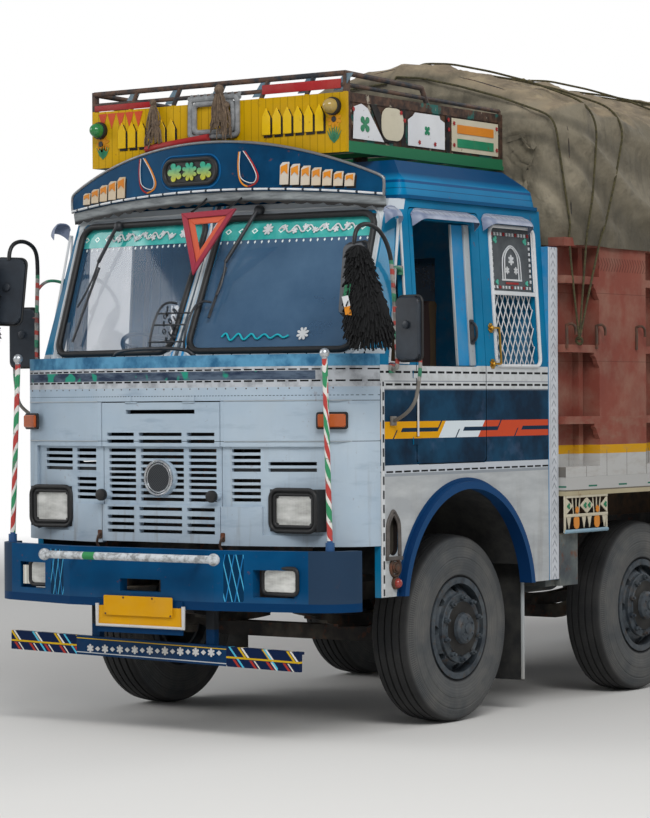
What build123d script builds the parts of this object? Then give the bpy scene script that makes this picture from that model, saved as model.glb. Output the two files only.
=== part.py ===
from build123d import *
import os

os.makedirs("parts", exist_ok=True)

# Frame: millimetres, front towards -Y, the truck's left side towards +X, ground at Z = 0.

# Clearances
seam = 0.5            # between neighbouring fixed pieces
door_gap = 6.0        # round a door, flap or tailgate
running_gap = 1.0     # round a turning shaft

# Wheels and axles
tyre_radius = 525.0
tyre_width = 270.0
rim_radius = 262.0
rim_lip = 22.0
rim_wall = 12.0
bead_inset = 25.0      # tyre foot, in from the tyre's widest point
flange_inset = 18.0    # inner face of the rim lip, in from the same point
hub_radius = 150.0
hub_reach = 185.0      # hub cap end, out from the middle of a front tyre
drum_radius = 205.0
drum_wall = 15.0
spindle_radius = 40.0
axle_1_y = -3376.0
steer_axle_gap = 2100.0
bogie_start = 5550.0
bogie_gap = 1370.0
front_track_half = 985.0
kingpin_x = 800.0
twin_middle_x = 930.0
twin_half_gap = 155.0


def aft(distance):
    """Y of a point so far behind the first axle."""
    return axle_1_y + distance


# Chassis frame
rail_outer_x = 430.0
rail_height = 280.0
rail_top = 1040.0
rail_flange = 75.0
rail_wall = 10.0
rail_front = aft(-1225)
rail_rear = aft(8130)

# Cab
cab_half = 1203.0
cab_wall = 40.0
cab_front_y = aft(-1272)
cab_corner_y = aft(-905)
cab_rear_y = aft(833)
front_flat_half = 440.0
skirt_z = 750.0
front_bottom_z = 1026.0
floor_z = 1400.0
floor_plate = 40.0
belt_z = 1985.0
sill_z = 2050.0        # windscreen base
gutter_z = 2895.0
lean_in = 55.0         # greenhouse side, inwards from belt to gutter
roof_rise = 225.0
arch_y = aft(-61)
arch_z = 667.0
arch_radius = 681.0
arch_lip = 40.0
door_front_y = aft(-555)
door_rear_y = aft(160)
door_bottom_z = 1450.0
door_top_z = 2850.0

# Windscreen
post_base_y = aft(-1130)
post_top_y = aft(-725)
pillar_base_y = aft(-915)
pillar_top_y = aft(-640)
pillar_x = 1090.0
jamb_base_y = aft(-850)
jamb_top_y = aft(-570)
screen_wall = 45.0
pane = 6.0

# Front bumper
bumper_y = aft(-1450)
bumper_z = 690.0
bumper_height = 320.0
bumper_wall = 60.0
bumper_flat_half = 500.0

# Load body
body_half = 1250.0
body_front_y = aft(950)
body_length = 7320.0
body_rear_y = body_front_y + body_length
sill_bottom_z = 1236.0
sill_height = 108.0
bed_plate = 30.0
side_sheet = 28.0
bay_depth = 120.0
bay_length = 403.0
panel_length = 570.0
side_top_z = 2750.0
top_rail = 50.0

# Tarpaulin
hem_z = 2700.0
cloth = 14.0
ridge_z = 3850.0


def save(builder, label):
    """Label one finished piece and write its file."""
    builder.part.label = label
    export_step(builder.part, f"parts/{label}.step")


def block(x, y, z, mode=Mode.ADD):
    """A box from its low to its high X, Y and Z, added to the piece in hand."""
    middle = ((x[0] + x[1]) / 2, (y[0] + y[1]) / 2, (z[0] + z[1]) / 2)
    with Locations(middle):
        Box(abs(x[1] - x[0]), abs(y[1] - y[0]), abs(z[1] - z[0]), mode=mode)


def pair_block(x, y, z, mode=Mode.ADD):
    """The same box on the left and on the right of the truck."""
    for side in (1, -1):
        block((side * x[0], side * x[1]), y, z, mode=mode)


def section_at(y):
    """Plane across the truck at y: local x is X, local y is Z, normal to the front."""
    return Plane.XZ.offset(-y)


def side_at(x):
    """Plane along the truck at x: local x is Y, local y is Z, normal to +X."""
    return Plane.YZ.offset(x)


def slab_base(side, outer_x, thickness):
    """Where a slab starts, so that it grows towards +X and ends flush with outer_x."""
    return outer_x - thickness if side > 0 else -outer_x


def tube(start, end, radius, mode=Mode.ADD):
    """A round bar between two points, with flat ends."""
    along = Vector(*end) - Vector(*start)
    with BuildSketch(Plane(origin=start, z_dir=along)) as ring:
        Circle(radius)
    extrude(ring.sketch, amount=along.length, mode=mode)


# Hinges: a moving and a fixed barrel on the turning line of each door, flap or tailgate
hinge_radius = 5.5
hinge_relief = 7.0     # notch in the moving piece round the fixed barrel
hinge_split = 0.3
hinge_length = 40.0
door_hinge_y = door_front_y + door_gap
door_hinge_heights = (1520.0, 1880.0)


def hinge_span(start):
    """Start and end of the moving barrel, of the fixed one and of its notch, along the turning line."""
    middle = start + hinge_length
    end = middle + hinge_length
    return (start, middle), (middle + hinge_split, end), (middle, end + 1)


# Chassis frame
cross_member_table = (     # distance behind the first axle, height of the member
    (-1040, 90),
    (1250, 120),
    (3000, 120),
    (4600, 120),
    (6240, 120),
    (7900, 160),
)
cross_member_width = 110.0

with BuildPart() as chassis_frame:
    for side in (1, -1):
        with BuildSketch(section_at(rail_rear)):
            with BuildLine():
                web = side * rail_outer_x
                inner = side * (rail_outer_x - rail_wall)
                lip = side * (rail_outer_x - rail_flange)
                Polyline(
                    (lip, rail_top),
                    (web, rail_top),
                    (web, rail_top - rail_height),
                    (lip, rail_top - rail_height),
                    (lip, rail_top - rail_height + rail_wall),
                    (inner, rail_top - rail_height + rail_wall),
                    (inner, rail_top - rail_wall),
                    (lip, rail_top - rail_wall),
                    close=True,
                )
            make_face()
        extrude(amount=rail_rear - rail_front)
    for distance, height in cross_member_table:
        block(
            (-(rail_outer_x - rail_wall), rail_outer_x - rail_wall),
            (aft(distance) - cross_member_width / 2, aft(distance) + cross_member_width / 2),
            (rail_top - rail_wall - height, rail_top - rail_wall),
        )
    # Rear underrun bar on two stays
    underrun_z = 520.0
    underrun_half = 1150.0
    pair_block((rail_outer_x - 90, rail_outer_x - 20), (rail_rear - 90, rail_rear - 10),
               (underrun_z, rail_top - rail_height + rail_wall))
    block((-underrun_half, underrun_half), (rail_rear - 10, rail_rear + 70),
          (underrun_z, underrun_z + 120))
save(chassis_frame, "chassis_frame")

# Wheel positions
wheel_z = tyre_radius
axle_offsets = {"1": 0.0, "2": steer_axle_gap, "3": bogie_start, "4": bogie_start + bogie_gap}

# Leaf springs
spring_half = 40.0
leaf = 14.0
leaves = 5
leaf_step = 110.0
spring_span = {"1": 1400.0, "2": 1400.0, "3": 1300.0, "4": 1300.0}
spring_seat_z = {"1": 512.0, "2": 512.0, "3": 600.0, "4": 600.0}
spring_sweep = 90.0    # how far the leaf ends rise over the seat
hanger_length = 70.0

with BuildPart() as leaf_springs:
    for side in (1, -1):
        start = slab_base(side, rail_outer_x + spring_half, 2 * spring_half)
        with BuildSketch(side_at(start)):
            for axle, offset_y in axle_offsets.items():
                centre_y = aft(offset_y)
                half_span = spring_span[axle] / 2
                seat = spring_seat_z[axle]
                for number in range(leaves):
                    reach = half_span - leaf_step * number
                    low = seat + leaf * (leaves - 1 - number)
                    tip = low + spring_sweep * (reach / half_span) ** 2
                    with BuildLine() as blade:
                        ThreePointArc((centre_y - reach, tip), (centre_y, low), (centre_y + reach, tip))
                        Line((centre_y + reach, tip), (centre_y + reach, tip + leaf))
                        ThreePointArc((centre_y + reach, tip + leaf), (centre_y, low + leaf),
                                      (centre_y - reach, tip + leaf))
                        Line((centre_y - reach, tip + leaf), (centre_y - reach, tip))
                    make_face(blade.edges())
                # Hangers up to the frame rail
                hanger_low = seat + (leaves - 1) * leaf + spring_sweep
                hanger_high = rail_top - rail_height - seam
                for end in (-1, 1):
                    with Locations((centre_y + end * (half_span - hanger_length / 2),
                                    (hanger_low + hanger_high) / 2)):
                        Rectangle(hanger_length, hanger_high - hanger_low)
        extrude(amount=2 * spring_half)
save(leaf_springs, "leaf_springs")

# Front axle beams with their eyes and kingpins
beam_drop = 65.0
beam_half_height = 42.0
beam_half_width = 48.0
eye_radius = 52.0
eye_half_height = 60.0
kingpin_radius = 20.0
lug_height = 38.0
beam_flat_half = 520.0
beam_rise_x = 690.0

with BuildPart() as front_axles:
    for axle in ("1", "2"):
        centre_y = aft(axle_offsets[axle])
        top = spring_seat_z[axle] - seam
        low_top = top
        low_bottom = top - 2 * beam_half_height
        with BuildSketch(section_at(centre_y + beam_half_width)):
            with BuildLine():
                Polyline(
                    (-kingpin_x, wheel_z + beam_half_height),
                    (-beam_rise_x, wheel_z + beam_half_height),
                    (-beam_flat_half, low_top),
                    (beam_flat_half, low_top),
                    (beam_rise_x, wheel_z + beam_half_height),
                    (kingpin_x, wheel_z + beam_half_height),
                    (kingpin_x, wheel_z - beam_half_height),
                    (beam_rise_x, wheel_z - beam_half_height),
                    (beam_flat_half, low_bottom),
                    (-beam_flat_half, low_bottom),
                    (-beam_rise_x, wheel_z - beam_half_height),
                    (-kingpin_x, wheel_z - beam_half_height),
                    close=True,
                )
            make_face()
        extrude(amount=2 * beam_half_width)
        for side in (1, -1):
            x = side * kingpin_x
            tube((x, centre_y, wheel_z - eye_half_height), (x, centre_y, wheel_z + eye_half_height), eye_radius)
            reach = eye_half_height + running_gap + lug_height
            tube((x, centre_y, wheel_z - reach), (x, centre_y, wheel_z + reach), kingpin_radius)
save(front_axles, "front_axles")

# Rear axles: a driven one with its banjo, and a plain tube behind it
axle_tube_radius = 62.0
axle_tube_half = twin_middle_x - 40
banjo_radius = 190.0
banjo_half = 130.0
spring_pad_half = 55.0

with BuildPart() as rear_axles:
    for axle in ("3", "4"):
        centre_y = aft(axle_offsets[axle])
        tube((-axle_tube_half, centre_y, wheel_z), (axle_tube_half, centre_y, wheel_z), axle_tube_radius)
        for side in (1, -1):
            x = side * rail_outer_x
            block((x - spring_half, x + spring_half),
                  (centre_y - spring_pad_half, centre_y + spring_pad_half),
                  (wheel_z, spring_seat_z[axle] - seam))
        if axle == "3":
            with BuildSketch(section_at(centre_y)):
                with BuildLine():
                    Line((-2 * banjo_half, wheel_z), (2 * banjo_half, wheel_z))
                    Line((2 * banjo_half, wheel_z), (2 * banjo_half, wheel_z + axle_tube_radius))
                    Spline((2 * banjo_half, wheel_z + axle_tube_radius),
                           (banjo_half, wheel_z + banjo_radius * 0.82),
                           (0, wheel_z + banjo_radius),
                           (-banjo_half, wheel_z + banjo_radius * 0.82),
                           (-2 * banjo_half, wheel_z + axle_tube_radius))
                    Line((-2 * banjo_half, wheel_z + axle_tube_radius), (-2 * banjo_half, wheel_z))
                make_face()
            revolve(axis=Axis((0, centre_y, wheel_z), (1, 0, 0)))
            tube((0, centre_y - banjo_radius - 130, wheel_z + 60), (0, centre_y, wheel_z + 60), 85)
save(rear_axles, "rear_axles")

# Engine block, gearbox, radiator and propeller shaft
engine_half = 310.0
engine_front_y = aft(-900)
engine_rear_y = aft(420)
engine_low_z = 640.0
engine_top_z = 1600.0
gearbox_half = 190.0
gearbox_rear_y = aft(1150)
shaft_radius = 55.0
shaft_start_z = 800.0
radiator_half = 340.0
radiator_thickness = 80.0
radiator_y = aft(-1040)
radiator_top_z = 1640.0
pinion_y = aft(bogie_start) - banjo_radius - 130

with BuildPart() as driveline:
    block((-engine_half, engine_half), (engine_front_y, engine_rear_y), (engine_low_z, engine_top_z))
    block((-gearbox_half, gearbox_half), (engine_rear_y, gearbox_rear_y), (660, 880))
    tube((0, gearbox_rear_y, shaft_start_z), (0, gearbox_rear_y + 60, shaft_start_z), 80)
    tube((0, gearbox_rear_y + 60 - seam, shaft_start_z - 2), (0, pinion_y - seam - 8, wheel_z + 60 + 2),
         shaft_radius)
    tube((0, pinion_y - 60, wheel_z + 60), (0, pinion_y - seam, wheel_z + 60), 80)
    block((-radiator_half, radiator_half),
          (radiator_y - radiator_thickness / 2, radiator_y + radiator_thickness / 2),
          (rail_top - rail_wall + seam, radiator_top_z))
    # Engine feet out to the rails
    for foot_y in (aft(-650), aft(150)):
        pair_block((engine_half - 10, rail_outer_x - rail_flange - seam),
                   (foot_y - 50, foot_y + 50), (820, 900))
        pair_block((rail_outer_x - rail_flange - seam - 1, rail_outer_x - rail_wall - seam),
                   (foot_y - 50, foot_y + 50), (820, 900))
save(driveline, "driveline")

# Fuel tank on the left, boxes and air tanks between the axles
tank_inner_x = rail_outer_x + 70
tank_outer_x = 1150.0
with BuildPart() as side_tanks:
    for side, length in ((1, 1250.0), (-1, 900.0)):
        with BuildSketch(section_at(aft(2950) + length)):
            with Locations((side * (tank_inner_x + tank_outer_x) / 2, 720)):
                RectangleRounded(tank_outer_x - tank_inner_x, 520, 110)
        extrude(amount=length)
        for share in (0.2, 0.8):
            strap_y = aft(2950) + length * share
            block((side * (rail_outer_x + seam), side * (tank_inner_x + 60)),
                  (strap_y - 35, strap_y + 35), (rail_top - rail_height + 20, rail_top - 80))
    # Grey box behind the first wheel, on the left
    block((620, 1172), (aft(842), aft(1150)), (710, 1010))
    block((1100, body_half - 40), (aft(945), aft(1150)), (710, 1010))
    block((rail_outer_x + seam, 660), (aft(940), aft(1040)), (790, 930))
    tube((-1120, aft(1000), 850), (-560, aft(1000), 850), 120)
    block((-600, -(rail_outer_x + seam)), (aft(960), aft(1040)), (800, 900))
save(side_tanks, "side_tanks")


def bumper_plan(inset):
    """Closed plan of the bumper's outer line, drawn in by an inset, on the front side."""
    with BuildLine() as outline:
        flat = bumper_flat_half
        front = bumper_y + inset
        bend = (1020 - inset * 0.35, aft(-1330) + inset)
        tip = (1215 - inset, aft(-1080))
        for side in (1, -1):
            Line((0, front), (side * flat, front))
            Line((side * flat, front), (side * bend[0], bend[1]))
            ThreePointArc((side * bend[0], bend[1]), (side * (bend[0] + tip[0] + 60) / 2, bend[1] + 70),
                          (side * tip[0], tip[1]))
            Line((side * tip[0], tip[1]), (0, tip[1]))
    make_face(outline.edges())


fog_table = ((721.0, 950.0),)      # inner and outer X of the fog lamp's recess
fog_low_z = 765.0
fog_high_z = 910.0
fog_recess_y = aft(-1300)
guard_y = aft(-1560)
guard_z = 968.0
guard_half = 585.0
guard_radius = 21.0

with BuildPart() as front_bumper:
    with BuildSketch(Plane.XY.offset(bumper_z)):
        bumper_plan(0)
    extrude(amount=bumper_height)
    with BuildSketch(Plane.XY.offset(bumper_z - 1)):
        bumper_plan(bumper_wall)
        with Locations((0, aft(-1080))):
            Rectangle(3000, 40)
    extrude(amount=bumper_height + 2, mode=Mode.SUBTRACT)
    # Slot in the middle and the lamp recesses
    block((-141, 141), (bumper_y - 50, bumper_y + 90), (776, 844), mode=Mode.SUBTRACT)
    for inner_x, outer_x in fog_table:
        pair_block((inner_x, outer_x), (aft(-1460), fog_recess_y), (fog_low_z, fog_high_z),
                   mode=Mode.SUBTRACT)
    # Plate holder under the middle
    block((-295, 295), (bumper_y - 8, bumper_y), (550, 730))
    # Round guard bar on two stays, with ball ends
    tube((-guard_half, guard_y, guard_z), (guard_half, guard_y, guard_z), guard_radius)
    for side in (1, -1):
        with Locations((side * guard_half, guard_y, guard_z)):
            Sphere(guard_radius + 12)
        tube((side * 430, guard_y, guard_z), (side * 430, bumper_y + 5, guard_z), 14)
    # Brackets back to the frame rails
    pair_block((rail_outer_x - rail_flange, rail_outer_x), (bumper_y + bumper_wall - 5, rail_front - seam),
               (790, 1000))
save(front_bumper, "front_bumper")

# Striped bar slung under the bumper, drooping a little to the left of the truck
bar_half = 1000.0
bar_height = 105.0
bar_y = aft(-1370)
bar_middle_z = 452.0
bar_droop = 1.0        # degrees

with BuildPart() as lower_bar:
    with BuildSketch(section_at(bar_y + 25)):
        with Locations(Location((0, bar_middle_z), -bar_droop)):
            Rectangle(2 * bar_half, bar_height)
    extrude(amount=25)
    with BuildSketch(section_at(bar_y + 45)):
        with Locations(Location((0, bar_middle_z + bar_height / 2 - 8), -bar_droop)):
            Rectangle(2 * bar_half, 14)
    extrude(amount=25)
    pair_block((rail_outer_x - 60, rail_outer_x - 5), (bar_y + 20, bar_y + 60), (bar_middle_z - 40, 789))
    pair_block((rail_outer_x - 60, rail_outer_x - 5), (bar_y + 60, rail_front + 60),
               (rail_top - rail_height - 60, rail_top - rail_height - seam))
save(lower_bar, "lower_bar")


def cab_plan(inset, mode=Mode.ADD):
    """Closed plan of the cab with its bowed front, drawn in by an inset."""
    with BuildLine() as outline:
        for side in (1, -1):
            flat = front_flat_half
            front = cab_front_y + inset
            bend = (1010 - 0.35 * inset, aft(-1118) + 0.94 * inset)
            Line((0, front), (side * flat, front))
            ThreePointArc((side * flat, front), (side * 730, aft(-1208) + 0.98 * inset),
                          (side * bend[0], bend[1]))
            ThreePointArc((side * bend[0], bend[1]),
                          (side * (1135 - 0.75 * inset), aft(-1045) + 0.72 * inset),
                          (side * (cab_half - inset), cab_corner_y))
            Line((side * (cab_half - inset), cab_corner_y), (side * (cab_half - inset), cab_rear_y - inset))
            Line((side * (cab_half - inset), cab_rear_y - inset), (0, cab_rear_y - inset))
    make_face(outline.edges(), mode=mode)


# Cab floor with the engine hump, the seat stands and the front floor edge
hump_half = 370.0
hump_top_z = 1690.0
hump_sheet = 20.0
hump_rear_y = aft(480)
driver_x = -640.0
mate_x = 560.0
seat_stand_z = 1760.0

with BuildPart() as cab_floor:
    with BuildSketch(Plane.XY.offset(floor_z)):
        cab_plan(cab_wall + seam)
    extrude(amount=floor_plate)
    block((-hump_half, hump_half), (aft(-1000), hump_rear_y), (floor_z, hump_top_z))
    block((-(hump_half - hump_sheet), hump_half - hump_sheet), (aft(-1300), hump_rear_y - hump_sheet),
          (floor_z - 1, hump_top_z - hump_sheet), mode=Mode.SUBTRACT)
    for x in (driver_x, mate_x + 80):
        block((x - 200, x + 200), (aft(-330), aft(90)), (floor_z + floor_plate, seat_stand_z))
    block((-1150, 1150), (aft(500), cab_rear_y - cab_wall - seam), (floor_z + floor_plate, seat_stand_z))
    # Cross bearers down to the frame rails
    for bearer_y in (aft(-960), aft(620)):
        pair_block((rail_outer_x - 70, rail_outer_x), (bearer_y - 50, bearer_y + 50),
                   (rail_top + seam, floor_z))
save(cab_floor, "cab_floor")

# Front slots: middle height of the row, then inner and outer X of each cut
slot_height = 19.0
flap_columns = ((0.0, 150.0), (184.0, 374.0))
flap_rows = (1623, 1585, 1535, 1500, 1466, 1432, 1401, 1369, 1336, 1302, 1268, 1216, 1170, 1131, 1093)
side_inner_column = (472.0, 640.0)
side_inner_rows = (1535, 1500, 1466, 1432, 1375, 1341, 1306, 1272)
side_outer_column = (682.0, 944.0)
side_outer_rows = {1: (1466, 1432), -1: (1535, 1500, 1466, 1432)}
flap_half = 415.0
flap_low_z = 1035.0
flap_high_z = 1803.0
recess_depth = 18.0
recess_low_z = 1236.0
recess_high_z = 1557.0
recess_outer_x = 1022.0
recess_drop_x = 655.0  # from here outwards the recess reaches lower, round the headlamp
recess_drop_z = 1085.0
headlamp_x = (690.0, 996.0)
headlamp_z = (1105.0, 1330.0)

with BuildPart() as cab_front:
    with BuildSketch(Plane.XY.offset(front_bottom_z)):
        cab_plan(0)
        with Locations((0, cab_rear_y)):
            Rectangle(3000, 2 * (cab_rear_y - cab_corner_y), mode=Mode.SUBTRACT)
    extrude(amount=sill_z - seam - front_bottom_z)
    with BuildSketch(Plane.XY.offset(front_bottom_z - 1)):
        cab_plan(cab_wall)
    extrude(amount=belt_z - 30 - front_bottom_z, mode=Mode.SUBTRACT)
    # Well behind the windscreen base
    with BuildSketch(Plane.XY.offset(belt_z - 40)):
        with BuildLine():
            Polyline(
                (0, post_base_y + screen_wall),
                (pillar_x, pillar_base_y + screen_wall),
                (pillar_x, cab_corner_y + 500),
                (-pillar_x, cab_corner_y + 500),
                (-pillar_x, pillar_base_y + screen_wall),
                close=True,
            )
        make_face()
    extrude(amount=200, mode=Mode.SUBTRACT)
    # Opening for the grille flap
    block((-flap_half, flap_half), (aft(-1400), aft(-1150)), (flap_low_z, flap_high_z), mode=Mode.SUBTRACT)
    block((-flap_half, flap_half), (aft(-1400), aft(-1150)), (front_bottom_z - 5, flap_low_z + 5),
          mode=Mode.SUBTRACT)
    # Shallow recess round slots and headlamps
    for side in (1, -1):
        for inner_x, low_z in ((flap_half - 50, recess_low_z), (recess_drop_x, recess_drop_z)):
            with BuildSketch(Plane.XY.offset(low_z)):
                cab_plan(-1)
                cab_plan(recess_depth, Mode.SUBTRACT)
                with Locations((side * (inner_x + recess_outer_x) / 2, aft(-1200))):
                    Rectangle(recess_outer_x - inner_x, 400, mode=Mode.INTERSECT)
            extrude(amount=recess_high_z - low_z, mode=Mode.SUBTRACT)
        for height in side_inner_rows:
            block((side * side_inner_column[0], side * side_inner_column[1]), (aft(-1400), aft(-1140)),
                  (height - slot_height / 2, height + slot_height / 2), mode=Mode.SUBTRACT)
        for height in side_outer_rows[side]:
            block((side * side_outer_column[0], side * side_outer_column[1]), (aft(-1400), aft(-1060)),
                  (height - slot_height / 2, height + slot_height / 2), mode=Mode.SUBTRACT)
        block((side * headlamp_x[0], side * headlamp_x[1]), (aft(-1400), aft(-1040)), headlamp_z,
              mode=Mode.SUBTRACT)
    # Fixed halves of the flap's hinges
    flap_hinge_z = flap_high_z - door_gap
    for side in (1, -1):
        fixed = hinge_span(160)[1]
        tube((side * fixed[0], cab_front_y, flap_hinge_z), (side * fixed[1], cab_front_y, flap_hinge_z),
             hinge_radius)
        block((side * fixed[0], side * fixed[1]), (cab_front_y - hinge_radius, cab_front_y + 1),
              (flap_hinge_z, flap_high_z + 30))
save(cab_front, "cab_front")

# Lift-up grille flap
with BuildPart() as grille_flap:
    edge = flap_half - door_gap
    block((-edge, edge), (cab_front_y, cab_front_y + cab_wall), (flap_low_z, flap_high_z - door_gap))
    block((-edge - 1, edge + 1), (cab_front_y - 1, cab_front_y + recess_depth),
          (recess_low_z, recess_high_z), mode=Mode.SUBTRACT)
    for height in flap_rows:
        for inner_x, outer_x in flap_columns:
            for side in (1, -1):
                block((side * inner_x, side * outer_x), (aft(-1400), aft(-1150)),
                      (height - slot_height / 2, height + slot_height / 2), mode=Mode.SUBTRACT)
    block((-240, 240), (aft(-1400), aft(-1150)), (1735, 1757), mode=Mode.SUBTRACT)
    # Round boss in the middle and two knobs
    boss_z = 1385.0
    tube((0, cab_front_y + 30, boss_z), (0, cab_front_y - 14, boss_z), 98)
    for side in (1, -1):
        tube((side * 384, cab_front_y + 30, 1290), (side * 384, cab_front_y - 26, 1290), 24)
        moving, fixed, notch = hinge_span(160)
        tube((side * notch[0], cab_front_y, flap_hinge_z), (side * notch[1], cab_front_y, flap_hinge_z),
             hinge_relief, mode=Mode.SUBTRACT)
        tube((side * moving[0], cab_front_y, flap_hinge_z), (side * moving[1], cab_front_y, flap_hinge_z),
             hinge_radius)
save(grille_flap, "grille_flap")


def screen_band(centre_y, pillar_y, jamb_y, side_x, wall):
    """Plan of the V windscreen band at one height."""
    with BuildLine() as outline:
        Polyline(
            (0, centre_y),
            (pillar_x, pillar_y),
            (side_x, jamb_y),
            (side_x - 60, jamb_y),
            (pillar_x - 30, pillar_y + wall),
            (0, centre_y + wall),
            (-(pillar_x - 30), pillar_y + wall),
            (-(side_x - 60), jamb_y),
            (-side_x, jamb_y),
            (-pillar_x, pillar_y),
            close=True,
        )
    make_face(outline.edges())


def lean_x(z):
    """Half width of the cab's outer skin at a height."""
    return cab_half - lean_in * max(0.0, z - belt_z) / (gutter_z - belt_z)


def between(low, high, z):
    """Value at height z on a straight line from windscreen base to gutter."""
    return low + (high - low) * (z - sill_z) / (gutter_z - sill_z)


def pane_band(z, inner_x, outer_x, front, thickness):
    """Plan of one window pane or its hole in the windscreen at height z, right of the middle."""
    slope = (between(pillar_base_y, pillar_top_y, z) - between(post_base_y, post_top_y, z)) / pillar_x
    start = between(post_base_y, post_top_y, z) + front
    with BuildLine() as outline:
        Polyline(
            (inner_x, start + slope * abs(inner_x)),
            (outer_x, start + slope * abs(outer_x)),
            (outer_x, start + slope * abs(outer_x) + thickness),
            (inner_x, start + slope * abs(inner_x) + thickness),
            close=True,
        )
    make_face(outline.edges())


glass_low_z = 2080.0
glass_high_z = 2815.0
glass_inner_x = 62.0
glass_outer_low_x = 1035.0
glass_outer_high_x = 1015.0

with BuildPart() as windscreen_frame:
    with BuildSketch(Plane.XY.offset(sill_z)):
        screen_band(post_base_y, pillar_base_y, jamb_base_y, lean_x(sill_z), screen_wall)
    with BuildSketch(Plane.XY.offset(gutter_z - seam)):
        screen_band(post_top_y, pillar_top_y, jamb_top_y, lean_x(gutter_z), screen_wall)
    loft(ruled=True)
    for side in (1, -1):
        with BuildSketch(Plane.XY.offset(glass_low_z)):
            pane_band(glass_low_z, side * glass_inner_x, side * glass_outer_low_x, -100, 300)
        with BuildSketch(Plane.XY.offset(glass_high_z)):
            pane_band(glass_high_z, side * glass_inner_x, side * glass_outer_high_x, -100, 300)
        loft(ruled=True, mode=Mode.SUBTRACT)
save(windscreen_frame, "windscreen_frame")

# Rear side window and quarter window, in Y and Z
rear_window = ((270.0, 745.0), (1995.0, 2785.0))
quarter_rear = -632.0
back_window = ((-450.0, 450.0), (2150.0, 2650.0))

with BuildPart() as cab_glass:
    for side in (1, -1):
        with BuildSketch(Plane.XY.offset(glass_low_z + seam)):
            pane_band(glass_low_z + seam, side * (glass_inner_x + seam), side * (glass_outer_low_x - seam),
                      18, pane)
        with BuildSketch(Plane.XY.offset(glass_high_z - seam)):
            pane_band(glass_high_z - seam, side * (glass_inner_x + seam), side * (glass_outer_high_x - seam),
                      18, pane)
        loft(ruled=True)
    block((back_window[0][0] + seam, back_window[0][1] - seam),
          (cab_rear_y - 24, cab_rear_y - 24 + pane),
          (back_window[1][0] + seam, back_window[1][1] - seam))
save(cab_glass, "cab_glass")


def side_profile(side):
    """Cross-section of a cab side: upright to the belt, then leaning in."""
    with BuildLine() as outline:
        Polyline(
            (side * cab_half, skirt_z),
            (side * cab_half, belt_z),
            (side * lean_x(gutter_z), gutter_z - seam),
            (side * (lean_x(gutter_z) - cab_wall), gutter_z - seam),
            (side * (cab_half - cab_wall), belt_z),
            (side * (cab_half - cab_wall), skirt_z),
            close=True,
        )
    make_face(outline.edges())


def door_outline(gap):
    """Outline of the door in Y and Z, shrunk by a gap."""
    with Locations(((door_front_y + door_rear_y) / 2, (door_bottom_z + door_top_z) / 2)):
        RectangleRounded(door_rear_y - door_front_y - 2 * gap, door_top_z - door_bottom_z - 2 * gap, 30)


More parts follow.
